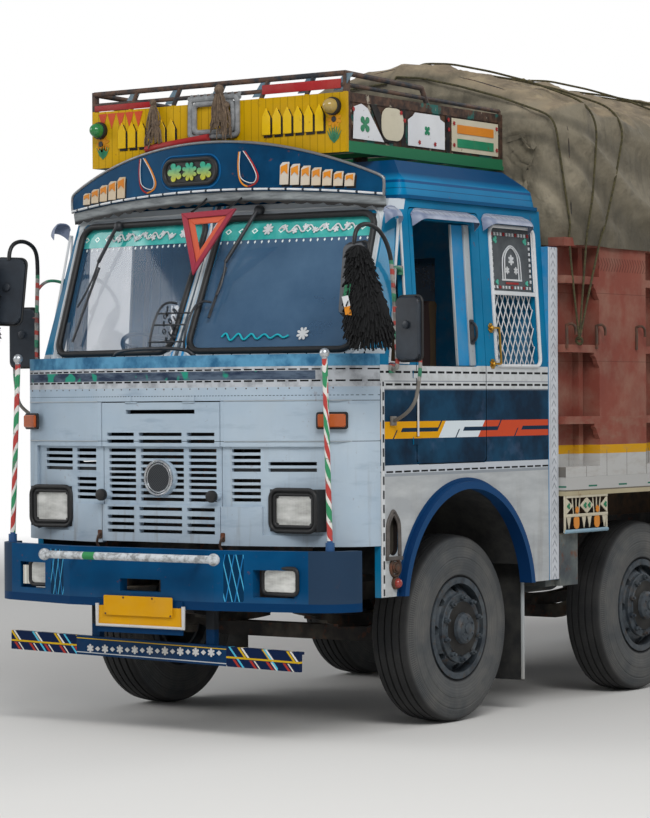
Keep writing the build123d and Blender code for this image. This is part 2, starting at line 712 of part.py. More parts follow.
for side, name in ((1, "left"), (-1, "right")):
    with BuildPart() as cab_side:
        with BuildSketch(section_at(cab_rear_y)):
            side_profile(side)
        extrude(amount=cab_rear_y - cab_corner_y - seam)
        start = slab_base(side, cab_half + 60, 200)
        # Slanted front edge against the windscreen pillar
        with BuildSketch(side_at(start)):
            with BuildLine():
                Polyline(
                    (cab_corner_y - 10, sill_z - seam),
                    (jamb_base_y + seam, sill_z - seam),
                    (jamb_top_y + seam, gutter_z),
                    (cab_corner_y - 10, gutter_z),
                    close=True,
                )
            make_face()
        extrude(amount=200, mode=Mode.SUBTRACT)
        # Wheel arch with its turned-out lip
        lip_start = slab_base(side, cab_half + arch_lip, arch_lip + 10)
        with BuildSketch(side_at(lip_start)):
            with Locations((arch_y, arch_z)):
                Circle(arch_radius)
            with Locations((arch_y, arch_z - 500 + skirt_z - arch_z)):
                Rectangle(2000, 1000, mode=Mode.SUBTRACT)
        extrude(amount=arch_lip + 10)
        with BuildSketch(side_at(start)):
            with Locations((arch_y, arch_z)):
                Circle(arch_radius - arch_lip)
        extrude(amount=200, mode=Mode.SUBTRACT)
        # Door, rear window and quarter window
        with BuildSketch(side_at(start)):
            door_outline(0)
            with Locations((aft(sum(rear_window[0]) / 2), sum(rear_window[1]) / 2)):
                RectangleRounded(rear_window[0][1] - rear_window[0][0], rear_window[1][1] - rear_window[1][0],
                                 40)
            with BuildLine():
                Polyline(
                    (aft(-815), 2000),
                    (aft(quarter_rear), 2000),
                    (aft(quarter_rear), 2780),
                    (aft(quarter_rear) - 12, 2780),
                    close=True,
                )
            make_face()
        extrude(amount=200, mode=Mode.SUBTRACT)
        # Small arched niche by the front corner
        niche_start = slab_base(side, cab_half + 10, 40)
        with BuildSketch(side_at(niche_start)):
            with Locations((aft(-790), 1080)):
                SlotOverall(220, 90, rotation=90)
        extrude(amount=40, mode=Mode.SUBTRACT)
        # Fixed halves of the door hinges
        for height in door_hinge_heights:
            fixed = hinge_span(height)[1]
            tube((side * cab_half, door_hinge_y, fixed[0]), (side * cab_half, door_hinge_y, fixed[1]),
                 hinge_radius)
            block((side * (cab_half - 1), side * (cab_half + hinge_radius)),
                  (door_hinge_y - 40, door_hinge_y), fixed)
    save(cab_side, f"cab_side_{name}")

    window_front_y = door_front_y + 40
    window_rear_y = door_rear_y - 85
    with BuildPart() as door:
        with BuildSketch(section_at(cab_rear_y)):
            side_profile(side)
        extrude(amount=cab_rear_y - cab_corner_y - seam)
        start = slab_base(side, cab_half + 60, 200)
        with BuildSketch(side_at(start)):
            door_outline(door_gap)
        extrude(amount=200, mode=Mode.INTERSECT)
        with BuildSketch(side_at(start)):
            with Locations(((window_front_y + window_rear_y) / 2, (belt_z + 2785) / 2)):
                RectangleRounded(window_rear_y - window_front_y, 2785 - belt_z, 30)
        extrude(amount=200, mode=Mode.SUBTRACT)
        for height in door_hinge_heights:
            moving, fixed, notch = hinge_span(height)
            tube((side * cab_half, door_hinge_y, notch[0]), (side * cab_half, door_hinge_y, notch[1]),
                 hinge_relief, mode=Mode.SUBTRACT)
            tube((side * cab_half, door_hinge_y, moving[0]), (side * cab_half, door_hinge_y, moving[1]),
                 hinge_radius)
    save(door, f"door_{name}")

# Cab back wall with the corner strips between cab and load body
strip_depth = 105.0
with BuildPart() as cab_back:
    inner_low = cab_half - cab_wall - seam
    inner_high = lean_x(gutter_z) - cab_wall - seam
    with BuildSketch(section_at(cab_rear_y)):
        with BuildLine():
            Polyline(
                (-inner_low, floor_z),
                (inner_low, floor_z),
                (inner_low, belt_z),
                (inner_high, gutter_z - seam),
                (-inner_high, gutter_z - seam),
                (-inner_low, belt_z),
                close=True,
            )
        make_face()
        with Locations((0, sum(back_window[1]) / 2)):
            Rectangle(back_window[0][1] - back_window[0][0], back_window[1][1] - back_window[1][0],
                      mode=Mode.SUBTRACT)
    extrude(amount=cab_wall)
    for side in (1, -1):
        block((side * (cab_half - 25), side * cab_half), (cab_rear_y + seam, cab_rear_y + strip_depth),
              (skirt_z, 2690))
        block((side * (cab_half - 120), side * (cab_half - 24)), (cab_rear_y + seam, cab_rear_y + 20),
              (floor_z + 100, 2690))
        block((side * (cab_half - 153), side * (cab_half - 103)), (cab_rear_y - 5, cab_rear_y + 20),
              (floor_z + 100, 2690))
save(cab_back, "cab_back")

# Roof: gutter flange, domed shell
roof_sheet = 25.0
roof_front_y = aft(-600)
roof_rear_y = cab_rear_y - 5
roof_half = lean_x(gutter_z)
gutter_reach = 18.0

with BuildPart() as cab_roof:
    with BuildSketch(Plane.XY.offset(gutter_z)):
        with Locations((0, (roof_front_y + roof_rear_y) / 2)):
            RectangleRounded(2 * roof_half, roof_rear_y - roof_front_y, 60)
    extrude(amount=110, taper=12)
    with BuildSketch(Plane.XY.offset(gutter_z + 110)):
        with Locations((0, (roof_front_y + roof_rear_y) / 2)):
            RectangleRounded(2 * roof_half - 47, roof_rear_y - roof_front_y - 47, 40)
    extrude(amount=roof_rise - 110, taper=48)
    with BuildSketch(Plane.XY.offset(gutter_z - 1)):
        with Locations((0, (roof_front_y + roof_rear_y) / 2)):
            RectangleRounded(2 * (roof_half - roof_sheet), roof_rear_y - roof_front_y - 2 * roof_sheet, 50)
    extrude(amount=111, taper=12, mode=Mode.SUBTRACT)
    with BuildSketch(Plane.XY.offset(gutter_z + 109)):
        with Locations((0, (roof_front_y + roof_rear_y) / 2)):
            RectangleRounded(2 * roof_half - 107, roof_rear_y - roof_front_y - 107, 30)
    extrude(amount=roof_rise - 109 - roof_sheet, taper=48, mode=Mode.SUBTRACT)
    with BuildSketch(Plane.XY.offset(gutter_z)):
        with Locations((0, (roof_front_y + roof_rear_y) / 2)):
            RectangleRounded(2 * (roof_half + gutter_reach), roof_rear_y - roof_front_y, 60)
            RectangleRounded(2 * (roof_half - roof_sheet), roof_rear_y - roof_front_y - 2 * roof_sheet, 50,
                             mode=Mode.SUBTRACT)
    extrude(amount=20)
save(cab_roof, "cab_roof")

# Crown over the windscreen: an arched board that leans forwards, bowed in plan
crown_table = (           # X, Y behind the first axle and Z of the lower, then of the upper edge
    (-1095, -690, 2905, -725, 3010),
    (-760, -760, 2935, -830, 3165),
    (0, -800, 2965, -885, 3245),
    (760, -760, 2935, -830, 3165),
    (1095, -690, 2905, -725, 3010),
)
crown_sheet = 22.0

with BuildPart() as sun_visor:
    with BuildSketch(section_at(aft(-560))):
        with BuildLine():
            low = [(x, low_z) for x, low_y, low_z, high_y, high_z in crown_table]
            high = [(x, high_z) for x, low_y, low_z, high_y, high_z in crown_table]
            ThreePointArc(low[0], low[2], low[-1])
            Line(low[-1], high[-1])
            ThreePointArc(high[-1], high[2], high[0])
            Line(high[0], low[0])
        make_face()
    extrude(amount=400)
    with BuildSketch(Plane.XY.offset(2880)):
        with BuildLine():
            ThreePointArc((-1140, aft(-690)), (0, aft(-850)), (1140, aft(-690)))
            Line((1140, aft(-690)), (1140, aft(-690 + crown_sheet)))
            ThreePointArc((1140, aft(-690 + crown_sheet)), (0, aft(-850 + crown_sheet)),
                          (-1140, aft(-690 + crown_sheet)))
            Line((-1140, aft(-690 + crown_sheet)), (-1140, aft(-690)))
        make_face()
    extrude(amount=500, mode=Mode.INTERSECT)
    # Gusset plates back to the roof gutter
    for x, board_y in ((-700, -773), (0, -833), (700, -773)):
        with BuildSketch(side_at(x - 8)):
            with BuildLine():
                Polyline(
                    (aft(board_y), 2975),
                    (aft(board_y), 3055),
                    (roof_front_y - seam, gutter_z + 19),
                    (roof_front_y - seam, gutter_z + 2),
                    close=True,
                )
            make_face()
        extrude(amount=16)
save(sun_visor, "sun_visor")

# Roof carrier: boards, posts and pipe rails
carrier_half = 895.0
carrier_front_y = aft(-760)
carrier_rear_y = aft(845)
carrier_low_z = 3150.0
board_top_z = 3475.0
rail_top_z = 3590.0
board = 20.0

with BuildPart() as roof_carrier:
    block((-carrier_half, carrier_half), (carrier_front_y, carrier_front_y + board),
          (carrier_low_z, board_top_z))
    for side in (1, -1):
        outer = side * carrier_half
        inner = side * (carrier_half - board)
        block((inner, outer), (carrier_front_y, carrier_rear_y), (carrier_low_z, carrier_low_z + 60))
        block((inner, outer), (carrier_front_y, carrier_rear_y), (board_top_z - 50, board_top_z))
        for post_y in (-760, -230, 240, 805):
            block((inner, outer), (aft(post_y), aft(post_y) + 40), (carrier_low_z, board_top_z))
        block((side * (carrier_half - 14), side * (carrier_half - 6)), (carrier_front_y, carrier_rear_y),
              (carrier_low_z, board_top_z))
        block((inner, outer), (carrier_front_y, carrier_front_y + 40), (board_top_z - 1, rail_top_z))
        tube((side * (carrier_half - 12), carrier_front_y + 10, rail_top_z - 12),
             (side * (carrier_half - 12), aft(0), rail_top_z - 30), 15)
        tube((side * (carrier_half - 12), aft(0), rail_top_z - 30),
             (side * (carrier_half - 12), aft(60), board_top_z - 10), 15)
        tube((side * (carrier_half - 12), carrier_front_y + 10, board_top_z + 40),
             (side * (carrier_half - 12), carrier_rear_y - 20, board_top_z + 20), 12)
        tube((side * (carrier_half - 12), carrier_rear_y - 20, board_top_z + 20),
             (side * (carrier_half - 12), carrier_rear_y - 20, board_top_z - 10), 12)
    tube((-carrier_half + 12, carrier_front_y + 10, rail_top_z - 12),
         (carrier_half - 12, carrier_front_y + 10, rail_top_z - 12), 15)
    tube((-carrier_half + 12, carrier_front_y + 10, board_top_z + 40),
         (carrier_half - 12, carrier_front_y + 10, board_top_z + 40), 12)
    for x in (-620, -310, 0, 310, 620):
        tube((x, carrier_front_y + 10, board_top_z - 10), (x + 60, carrier_front_y + 10, rail_top_z - 12), 13)
    # Floor of slats on two feet a side
    for slat_y in (-740, -420, -100, 220, 540, 805):
        block((-carrier_half + 5, carrier_half - 5), (aft(slat_y), aft(slat_y) + 60),
              (carrier_low_z, carrier_low_z + 25))
    for foot_y in (-420, 540):
        pair_block((700, 760), (aft(foot_y), aft(foot_y) + 60),
                   (gutter_z + roof_rise + seam, carrier_low_z + 5))
save(roof_carrier, "roof_carrier")

# Lamps: lens solids in their recesses, and rubber surrounds
with BuildPart() as lamps:
    for side in (1, -1):
        block((side * (headlamp_x[0] + 30), side * (headlamp_x[1] - 30)), (aft(-1170), aft(-1075)),
              (headlamp_z[0] + 28, headlamp_z[1] - 28))
        for inner_x, outer_x in fog_table:
            block((side * (inner_x + 25), side * (outer_x - 20)), (aft(-1345), fog_recess_y - seam),
                  (fog_low_z + 20, fog_high_z - 20))
        # Tail lamps on the rear sill
        block((side * 950, side * 1180), (body_rear_y + 40 + seam, body_rear_y + 75), (1130, 1220))
save(lamps, "lamps")

with BuildPart() as lamp_surrounds:
    for side in (1, -1):
        block((side * (headlamp_x[0] + seam), side * (headlamp_x[1] - seam)), (aft(-1200), aft(-1060)),
              (headlamp_z[0] + seam, headlamp_z[1] - seam))
        block((side * (headlamp_x[0] + 30 - seam), side * (headlamp_x[1] - 30 + seam)),
              (aft(-1250), aft(-1075 + seam)), (headlamp_z[0] + 28 - seam, headlamp_z[1] - 28 + seam),
              mode=Mode.SUBTRACT)
        block((side * 900, side * 1200), (body_rear_y + seam, body_rear_y + 40), (1110, 1300))
save(lamp_surrounds, "lamp_surrounds")

# Mirror arms and heads, and the striped marker poles
with BuildPart() as mirrors:
    for side in (1, -1):
        points = (
            (side * (cab_half + 10), aft(-800), 1970),
            (side * 1262, aft(-835), 1972),
            (side * 1250, aft(-845), 2440),
            (side * 1215, aft(-870), 2640),
            (side * 1205, aft(-1010), 2722),
            (side * 1205, aft(-1120), 2680),
        )
        for start, end in zip(points[:-1], points[1:]):
            tube(start, end, 12)
            with Locations(end):
                Sphere(12)
        block((side * (cab_half + seam), side * (cab_half + 14)), (aft(-825), aft(-775)), (1945, 1995))
        block((side * (lean_x(2475) + 1), side * (lean_x(2475) + 14)), (aft(-695), aft(-650)), (2475, 2525))
        tube((side * (lean_x(2475) + 12), aft(-680), 2500), (side * 1248, aft(-846), 2470), 9)
        with Locations(Location((side * 1205, aft(-1150), 2440), (-8, 0, side * -18))):
            Box(190, 30, 380)
        tube((side * 1205, aft(-1120), 2680), (side * 1205, aft(-1135), 2610), 10)
        with Locations(Location((side * 1352, aft(-850), 2180), (0, 0, side * -12))):
            Box(180, 30, 340)
        tube((side * 1255, aft(-840), 2300), (side * 1290, aft(-848), 2290), 9)
        tube((side * 1425, aft(-850), 2030), (side * 1395, aft(-850), 1800), 10)
        tube((side * 1395, aft(-850), 1800), (side * (cab_half + 10), aft(-790), 1690), 10)
        block((side * (cab_half + seam), side * (cab_half + 14)), (aft(-815), aft(-765)), (1665, 1715))
save(mirrors, "mirrors")

pole_foot = (1105.0, aft(-1235))
with BuildPart() as marker_poles:
    for side in (1, -1):
        foot = (side * pole_foot[0], pole_foot[1], bumper_z + bumper_height + seam)
        tip = (side * 1068, aft(-1222), 2050)
        tube(foot, (foot[0], foot[1], foot[2] + 45), 24)
        tube((foot[0], foot[1], foot[2] + 20), tip, 15)
        with Locations(tip):
            Sphere(27)
save(marker_poles, "marker_poles")

# Cab inside: cushions, dashboard and steering wheel
with BuildPart() as seats:
    for x in (driver_x, mate_x + 80):
        block((x - 240, x + 240), (aft(-350), aft(110)), (seat_stand_z + seam, seat_stand_z + 125))
        block((x - 240, x + 240), (aft(108), aft(230)), (seat_stand_z + 60, seat_stand_z + 640))
    block((-1100, 1100), (aft(505), aft(770)), (seat_stand_z + seam, seat_stand_z + 130))
save(seats, "seats")

wheel_centre = (driver_x, aft(-470), 2080.0)
column_split = 216.0   # along the column, where the turning shaft leaves its fixed sleeve


def column_point(distance):
    """A point on the steering column, so far down from the middle of the steering wheel."""
    return (driver_x, wheel_centre[1] - 0.5 * distance, wheel_centre[2] - 0.866 * distance)


with BuildPart() as dashboard:
    with BuildSketch(side_at(-1090)):
        with BuildLine():
            Polyline(
                (aft(-860), 1720),
                (aft(-640), 1760),
                (aft(-600), 1900),
                (aft(-640), 2000),
                (aft(-860), 2030),
                close=True,
            )
        make_face()
        fillet(vertices(), 15)
    extrude(amount=2180)
    tube((driver_x, aft(-700), 1440 + seam), (driver_x, aft(-700), 1760), 40)
    tube(column_point(column_split), column_point(340), 30)
save(dashboard, "dashboard")

with BuildPart() as steering_wheel:
    rim_plane = Plane(origin=wheel_centre, z_dir=(0, 0.5, 0.866))
    with BuildSketch(Plane(origin=wheel_centre, x_dir=(1, 0, 0), z_dir=(0, -0.866, 0.5))):
        with Locations((225, 0)):
            Circle(14)
    revolve(axis=Axis(wheel_centre, (0, 0.5, 0.866)))
    with BuildSketch(rim_plane):
        Circle(45)
        for angle in (0, 120, 240):
            with Locations(Location((0, 0), angle)):
                with Locations((112, 0)):
                    Rectangle(226, 22)
    extrude(amount=8, both=True)
    tube(wheel_centre, column_point(column_split - seam), 22)
save(steering_wheel, "steering_wheel")

# Load bed floor: sills, cross bearers, plate
bearers = 12
bearer_inset = 80.0
bearer_width = 70.0
with BuildPart() as bed_floor:
    block((-(body_half - bay_depth - side_sheet), body_half - bay_depth - side_sheet),
          (body_front_y + 60, body_rear_y - 60), (sill_bottom_z + sill_height, sill_bottom_z + sill_height + bed_plate))
    for side in (1, -1):
        block((side * (body_half - 90), side * body_half), (body_front_y, body_rear_y),
              (sill_bottom_z, sill_bottom_z + sill_height))
        block((side * (rail_outer_x - 70), side * rail_outer_x), (body_front_y + 60, body_rear_y - 60),
              (rail_top + seam, sill_bottom_z + sill_height))
    first_bearer_y = body_front_y + bearer_inset
    bearer_pitch = (body_length - 2 * bearer_inset) / (bearers - 1)
    with Locations([(0, first_bearer_y + number * bearer_pitch, sill_bottom_z + sill_height / 2)
                    for number in range(bearers)]):
        Box(2 * (body_half - 89), bearer_width, sill_height)
save(bed_floor, "bed_floor")

# Fixed halves of the tailgate's hinges, on brackets behind the last bearer
wall_low_z = sill_bottom_z + sill_height + seam
gate_low_z = wall_low_z + 40
gate_hinge_starts = (180.0, 620.0)
last_bearer_rear_y = body_rear_y - bearer_inset + bearer_width / 2
with BuildPart() as gate_hinges:
    for side in (1, -1):
        for start in gate_hinge_starts:
            fixed = hinge_span(start)[1]
            tube((side * fixed[0], body_rear_y, gate_low_z), (side * fixed[1], body_rear_y, gate_low_z),
                 hinge_radius)
            block((side * fixed[0], side * fixed[1]), (last_bearer_rear_y + seam, body_rear_y + 4),
                  (sill_bottom_z + sill_height - 60, gate_low_z - hinge_radius + 2))
save(gate_hinges, "gate_hinges")

with BuildPart() as headboard:
    block((-(body_half - bay_depth - side_sheet - seam), body_half - bay_depth - side_sheet - seam),
          (body_front_y, body_front_y + 50), (wall_low_z, side_top_z))
    for x in (-800, -400, 0, 400, 800):
        block((x - 35, x + 35), (body_front_y + 49, body_front_y + 59), (wall_low_z + 40, side_top_z))
save(headboard, "headboard")

shelf_heights = (2505.0, 2100.0, 1678.0)
shelf = 45.0
bottom_rail = 60.0
rear_post = 90.0
bay_pitch = bay_length + panel_length
bays = int((body_length - bay_length) // bay_pitch) + 1

stake = 40.0
stake_width = 50.0
corbel = 30.0


def rectangle_from(y, z):
    """A rectangle in Y and Z from its low to its high sides."""
    with Locations(((y[0] + y[1]) / 2, (z[0] + z[1]) / 2)):
        Rectangle(y[1] - y[0], z[1] - z[0])


for side, name in ((1, "left"), (-1, "right")):
    bay_starts = [body_front_y + number * bay_pitch for number in range(bays)]
    with BuildPart() as bed_side:
        # Back sheet of the bays
        with BuildSketch(side_at(slab_base(side, body_half - bay_depth, side_sheet))):
            rectangle_from((body_front_y, body_rear_y), (wall_low_z, side_top_z))
        extrude(amount=side_sheet)
        # Flush panels, rails and shelves
        with BuildSketch(side_at(slab_base(side, body_half, bay_depth))):
            rectangle_from((body_front_y, body_rear_y), (side_top_z - top_rail, side_top_z))
            rectangle_from((body_front_y, body_rear_y), (wall_low_z, wall_low_z + bottom_rail))
            rectangle_from((body_rear_y - rear_post, body_rear_y), (wall_low_z, side_top_z))
            for height in shelf_heights:
                rectangle_from((body_front_y, body_rear_y), (height - shelf / 2, height + shelf / 2))
            for bay_start in bay_starts:
                panel_end = min(bay_start + bay_pitch, body_rear_y)
                rectangle_from((bay_start + bay_length, panel_end), (wall_low_z, side_top_z))
        extrude(amount=bay_depth)
        # Stakes inside the bays
        with BuildSketch(side_at(slab_base(side, body_half - bay_depth + stake, stake))):
            for bay_start in bay_starts:
                stake_end = bay_start + bay_length - 60
                rectangle_from((stake_end - stake_width, stake_end), (wall_low_z, side_top_z))
        extrude(amount=stake)
        # Corbels under the shelves, against the next panel
        with BuildSketch(side_at(slab_base(side, body_half, corbel))):
            for bay_start in bay_starts:
                foot = bay_start + bay_length + 1
                for height in shelf_heights:
                    low = height - shelf / 2
                    with BuildLine() as bracket:
                        Polyline((foot, low + 1), (foot - 63, low + 1), (foot - 63, low - 18),
                                 (foot - 41, low - 34), (foot - 27, low - 62), (foot, low - 92), close=True)
                    make_face(bracket.edges())
        extrude(amount=corbel)
    save(bed_side, f"bed_side_{name}")

# Tailgate, hinged along its lower edge
gate_half = body_half - bay_depth - side_sheet - door_gap
with BuildPart() as tailgate:
    block((-gate_half, gate_half), (body_rear_y - 50, body_rear_y), (gate_low_z, side_top_z - 60))
    for x in (-gate_half + 60, -420, 0, 420, gate_half - 60):
        block((x - 45, x + 45), (body_rear_y - 1, body_rear_y + 30), (gate_low_z, side_top_z - 60))
    for side in (1, -1):
        for start in gate_hinge_starts:
            moving, fixed, notch = hinge_span(start)
            tube((side * notch[0], body_rear_y, gate_low_z), (side * notch[1], body_rear_y, gate_low_z),
                 hinge_relief, mode=Mode.SUBTRACT)
            tube((side * moving[0], body_rear_y, gate_low_z), (side * moving[1], body_rear_y, gate_low_z),
                 hinge_radius)
save(tailgate, "tailgate")


def tarp_half(inset):
    """Half width of the covered load at its foot, drawn in by an inset."""
    return body_half + cloth + seam - inset


def tarp_arch(inset, foot_z):
    """Line over the load from foot to foot: leaning sides, round shoulders, low ridge."""
    half = tarp_half(inset)
    for side in (1, -1):
        Line((side * half, foot_z), (side * (half - 20), 3370 - inset))
        ThreePointArc((side * (half - 20), 3370 - inset), (side * (half - 60), 3480 - inset),
                      (side * (half - 160), 3545 - inset))
        ThreePointArc((side * (half - 160), 3545 - inset), (side * 560, 3745 - inset),
                      (0, ridge_z - inset))


def tarp_profile(inset):
    """Closed cross-section of the covered load, upright where it hangs over the side rails."""
    half = tarp_half(inset)
    upright_z = side_top_z + 10
    with BuildLine() as outline:
        tarp_arch(inset, upright_z)
        Polyline((half, upright_z), (half, hem_z), (-half, hem_z), (-half, upright_z))
    make_face(outline.edges())


tarp_front_y = aft(925)
tarp_rear_y = body_rear_y + 40
with BuildPart() as tarpaulin:
    with BuildSketch(section_at(tarp_rear_y)):
        tarp_profile(0)
    extrude(amount=tarp_rear_y - tarp_front_y)
    with BuildSketch(section_at(tarp_rear_y - cloth)):
        tarp_profile(cloth)
    extrude(amount=tarp_rear_y - tarp_front_y - 2 * cloth, mode=Mode.SUBTRACT)
save(tarpaulin, "tarpaulin")

hoop_inset = cloth + 6
hoop_depth = 35.0
hoop_width = 40.0
hoops = 7
hoop_foot_z = side_top_z + seam
with BuildPart() as tarp_hoops:
    for number in range(hoops):
        hoop_y = body_front_y + 120 + (body_length - 240) * number / (hoops - 1)
        with BuildSketch(section_at(hoop_y + hoop_width / 2)):
            with BuildLine():
                tarp_arch(hoop_inset, hoop_foot_z)
                tarp_arch(hoop_inset + hoop_depth, hoop_foot_z)
                for side in (1, -1):
                    Line((side * tarp_half(hoop_inset), hoop_foot_z),
                         (side * tarp_half(hoop_inset + hoop_depth), hoop_foot_z))
            make_face()
        extrude(amount=hoop_width)
save(tarp_hoops, "tarp_hoops")

# Mudguards: liners over the front wheels and hanging flaps
with BuildPart() as mudguards:
    for side in (1, -1):
        start = slab_base(side, cab_half - cab_wall - seam, 600)
        with BuildSketch(side_at(start)):
            with Locations((arch_y, arch_z)):
                Circle(arch_radius - 30)
                Circle(arch_radius - 38, mode=Mode.SUBTRACT)
            with Locations((arch_y, arch_z + 190 - 1000)):
                Rectangle(2000, 2000, mode=Mode.SUBTRACT)
        extrude(amount=600)
        block((side * 860, side * 1130), (aft(655), aft(663)), (180, skirt_z + 120))
        block((side * (rail_outer_x + seam), side * 1130), (aft(662), aft(700)), (skirt_z + 60, skirt_z + 110))
        block((side * 640, side * 1225), (aft(7560), aft(7570)), (220, 1040))
        block((side * (rail_outer_x + seam), side * 1225), (aft(7569), aft(7610)), (980, 1030))
save(mudguards, "mudguards")

# Tyres, wheels and knuckles


def axle_plane(centre, side):
    """Plane for wheel sections: local x points outwards along the axle, local y up."""
    return Plane(origin=centre, x_dir=(side, 0, 0), z_dir=(0, -side, 0))


def tyre_section(middle):
    """Half section of a tyre with its middle so far out along the axle."""
    half = tyre_width / 2
    with BuildLine() as outline:
        bead = rim_radius + seam
        Line((middle - half + bead_inset, bead), (middle + half - bead_inset, bead))
        Line((middle + half - bead_inset, bead), (middle + half - flange_inset, bead + 30))
        ThreePointArc((middle + half - flange_inset, bead + 30), (middle + half, tyre_radius - 135),
                      (middle + half - 14, tyre_radius - 38))
        Line((middle + half - 14, tyre_radius - 38), (middle + half - 32, tyre_radius - 8))
        ThreePointArc((middle + half - 32, tyre_radius - 8), (middle, tyre_radius),
                      (middle - half + 32, tyre_radius - 8))
        Line((middle - half + 32, tyre_radius - 8), (middle - half + 14, tyre_radius - 38))
        ThreePointArc((middle - half + 14, tyre_radius - 38), (middle - half, tyre_radius - 135),
                      (middle - half + flange_inset, bead + 30))
        Line((middle - half + flange_inset, bead + 30), (middle - half + bead_inset, bead))
    make_face(outline.edges())


def rim_barrel(middle):
    """Half section of a rim: barrel and two lips."""
    half = tyre_width / 2 - flange_inset + seam
    with BuildLine() as outline:
        Polyline(
            (middle - half - rim_wall, rim_radius + rim_lip),
            (middle - half, rim_radius + rim_lip),
            (middle - half, rim_radius),
            (middle + half, rim_radius),
            (middle + half, rim_radius + rim_lip),
            (middle + half + rim_wall, rim_radius + rim_lip),
            (middle + half + rim_wall, rim_radius - rim_wall),
            (middle - half - rim_wall, rim_radius - rim_wall),
            close=True,
        )
    make_face(outline.edges())


hand_holes = 8
hand_hole_ring = 222.0
hand_hole_radius = 27.0

for axle in ("1", "2"):
    for side, letter in ((1, "l"), (-1, "r")):
        middle_x = side * front_track_half
        centre = (middle_x, aft(axle_offsets[axle]), wheel_z)
        spin = Axis(centre, (side, 0, 0))
        with BuildPart() as tyre:
            with BuildSketch(axle_plane(centre, side)):
                tyre_section(0)
            revolve(axis=spin)
        save(tyre, f"tyre_{axle}{letter}")

        with BuildPart() as wheel:
            with BuildSketch(axle_plane(centre, side)):
                rim_barrel(0)
                # Disc dished outwards, flat hub face, cap
                with BuildLine():
                    Polyline(
                        (60, rim_radius - 2),
                        (118, rim_radius - 60),
                        (128, hub_radius + 10),
                        (150, hub_radius),
                        (150, 88),
                        (hub_reach - 15, 84),
                        (hub_reach, 70),
                        (hub_reach, 0),
                        (60, 0),
                        (60, spindle_radius + running_gap),
                        (-110, spindle_radius + running_gap),
                        (-110, 90),
                        (60, 100),
                        (104, hub_radius - 20),
                        (104, rim_radius - 68),
                        (46, rim_radius - 8),
                        close=True,
                    )
                make_face()
                with BuildLine():
                    Polyline(
                        (-110, drum_radius),
                        (90, drum_radius),
                        (110, drum_radius - 30),
                        (96, drum_radius - 60),
                        (76, drum_radius - drum_wall),
                        (-110, drum_radius - drum_wall),
                        close=True,
                    )
                make_face()
            revolve(axis=spin)
            with BuildSketch(Plane(origin=centre, x_dir=(0, 1, 0), z_dir=(side, 0, 0)).offset(70)):
                with PolarLocations(hand_hole_ring, hand_holes):
                    Circle(hand_hole_radius)
            extrude(amount=90, mode=Mode.SUBTRACT)
        save(wheel, f"wheel_{axle}{letter}")

        with BuildPart() as knuckle:
            pin_x = side * kingpin_x
            y = centre[1]
            lug_start = eye_half_height + running_gap
            for up in (1, -1):
                tube((pin_x, y, wheel_z + up * lug_start), (pin_x, y, wheel_z + up * (lug_start + lug_height)),
                     46)
                block((pin_x, side * (kingpin_x + 72)), (y - 45, y + 45),
                      (wheel_z + up * lug_start, wheel_z + up * (lug_start + lug_height)))
                tube((pin_x, y, wheel_z + up * (lug_start - 1)),
                     (pin_x, y, wheel_z + up * (lug_start + lug_height + 1)), kingpin_radius + running_gap,
                     mode=Mode.SUBTRACT)
            reach = lug_start + lug_height
            block((side * (kingpin_x + 56), side * (kingpin_x + 72)), (y - 60, y + 60),
                  (wheel_z - reach, wheel_z + reach))
            tube((side * (kingpin_x + 60), y, wheel_z), (side * (front_track_half + 50), y, wheel_z),
                 spindle_radius)
        save(knuckle, f"knuckle_{axle}{letter}")

for axle in ("3", "4"):
    for side, letter in ((1, "l"), (-1, "r")):
        centre = (side * twin_middle_x, aft(axle_offsets[axle]), wheel_z)
        spin = Axis(centre, (side, 0, 0))
        with BuildPart() as tyre:
            for middle in (-twin_half_gap, twin_half_gap):
                with BuildSketch(axle_plane(centre, side)):
                    tyre_section(middle)
                revolve(axis=spin)
        save(tyre, f"tyres_{axle}{letter}")

        with BuildPart() as wheel:
            with BuildSketch(axle_plane(centre, side)):
                for middle in (-twin_half_gap, twin_half_gap):
                    rim_barrel(middle)
                # Two discs bolted back to back on a long hub
                with BuildLine():
                    Polyline(
                        (84, rim_radius - 8),
                        (36, rim_radius - 76),
                        (22, hub_radius),
                        (40, hub_radius - 10),
                        (60, 95),
                        (200, 84),
                        (215, 70),
                        (215, 0),
                        (-30, 0),
                        (-30, axle_tube_radius + running_gap),
                        (-200, axle_tube_radius + running_gap),
                        (-200, 95),
                        (-40, hub_radius - 10),
                        (-22, hub_radius),
                        (-36, rim_radius - 76),
                        (-84, rim_radius - 8),
                        (-70, rim_radius - 2),
                        (-8, rim_radius - 66),
                        (8, rim_radius - 66),
                        (70, rim_radius - 2),
                        close=True,
                    )
                make_face()
                with Locations((-134, drum_radius - drum_wall / 2)):
                    Rectangle(192, drum_wall)
            revolve(axis=spin)
        save(wheel, f"wheels_{axle}{letter}")
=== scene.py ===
from functools import partial
from math import atan2, cos, pi, radians, sin, sqrt

import bpy
from mathutils import Matrix, Vector, noise
from mathutils.bvhtree import BVHTree


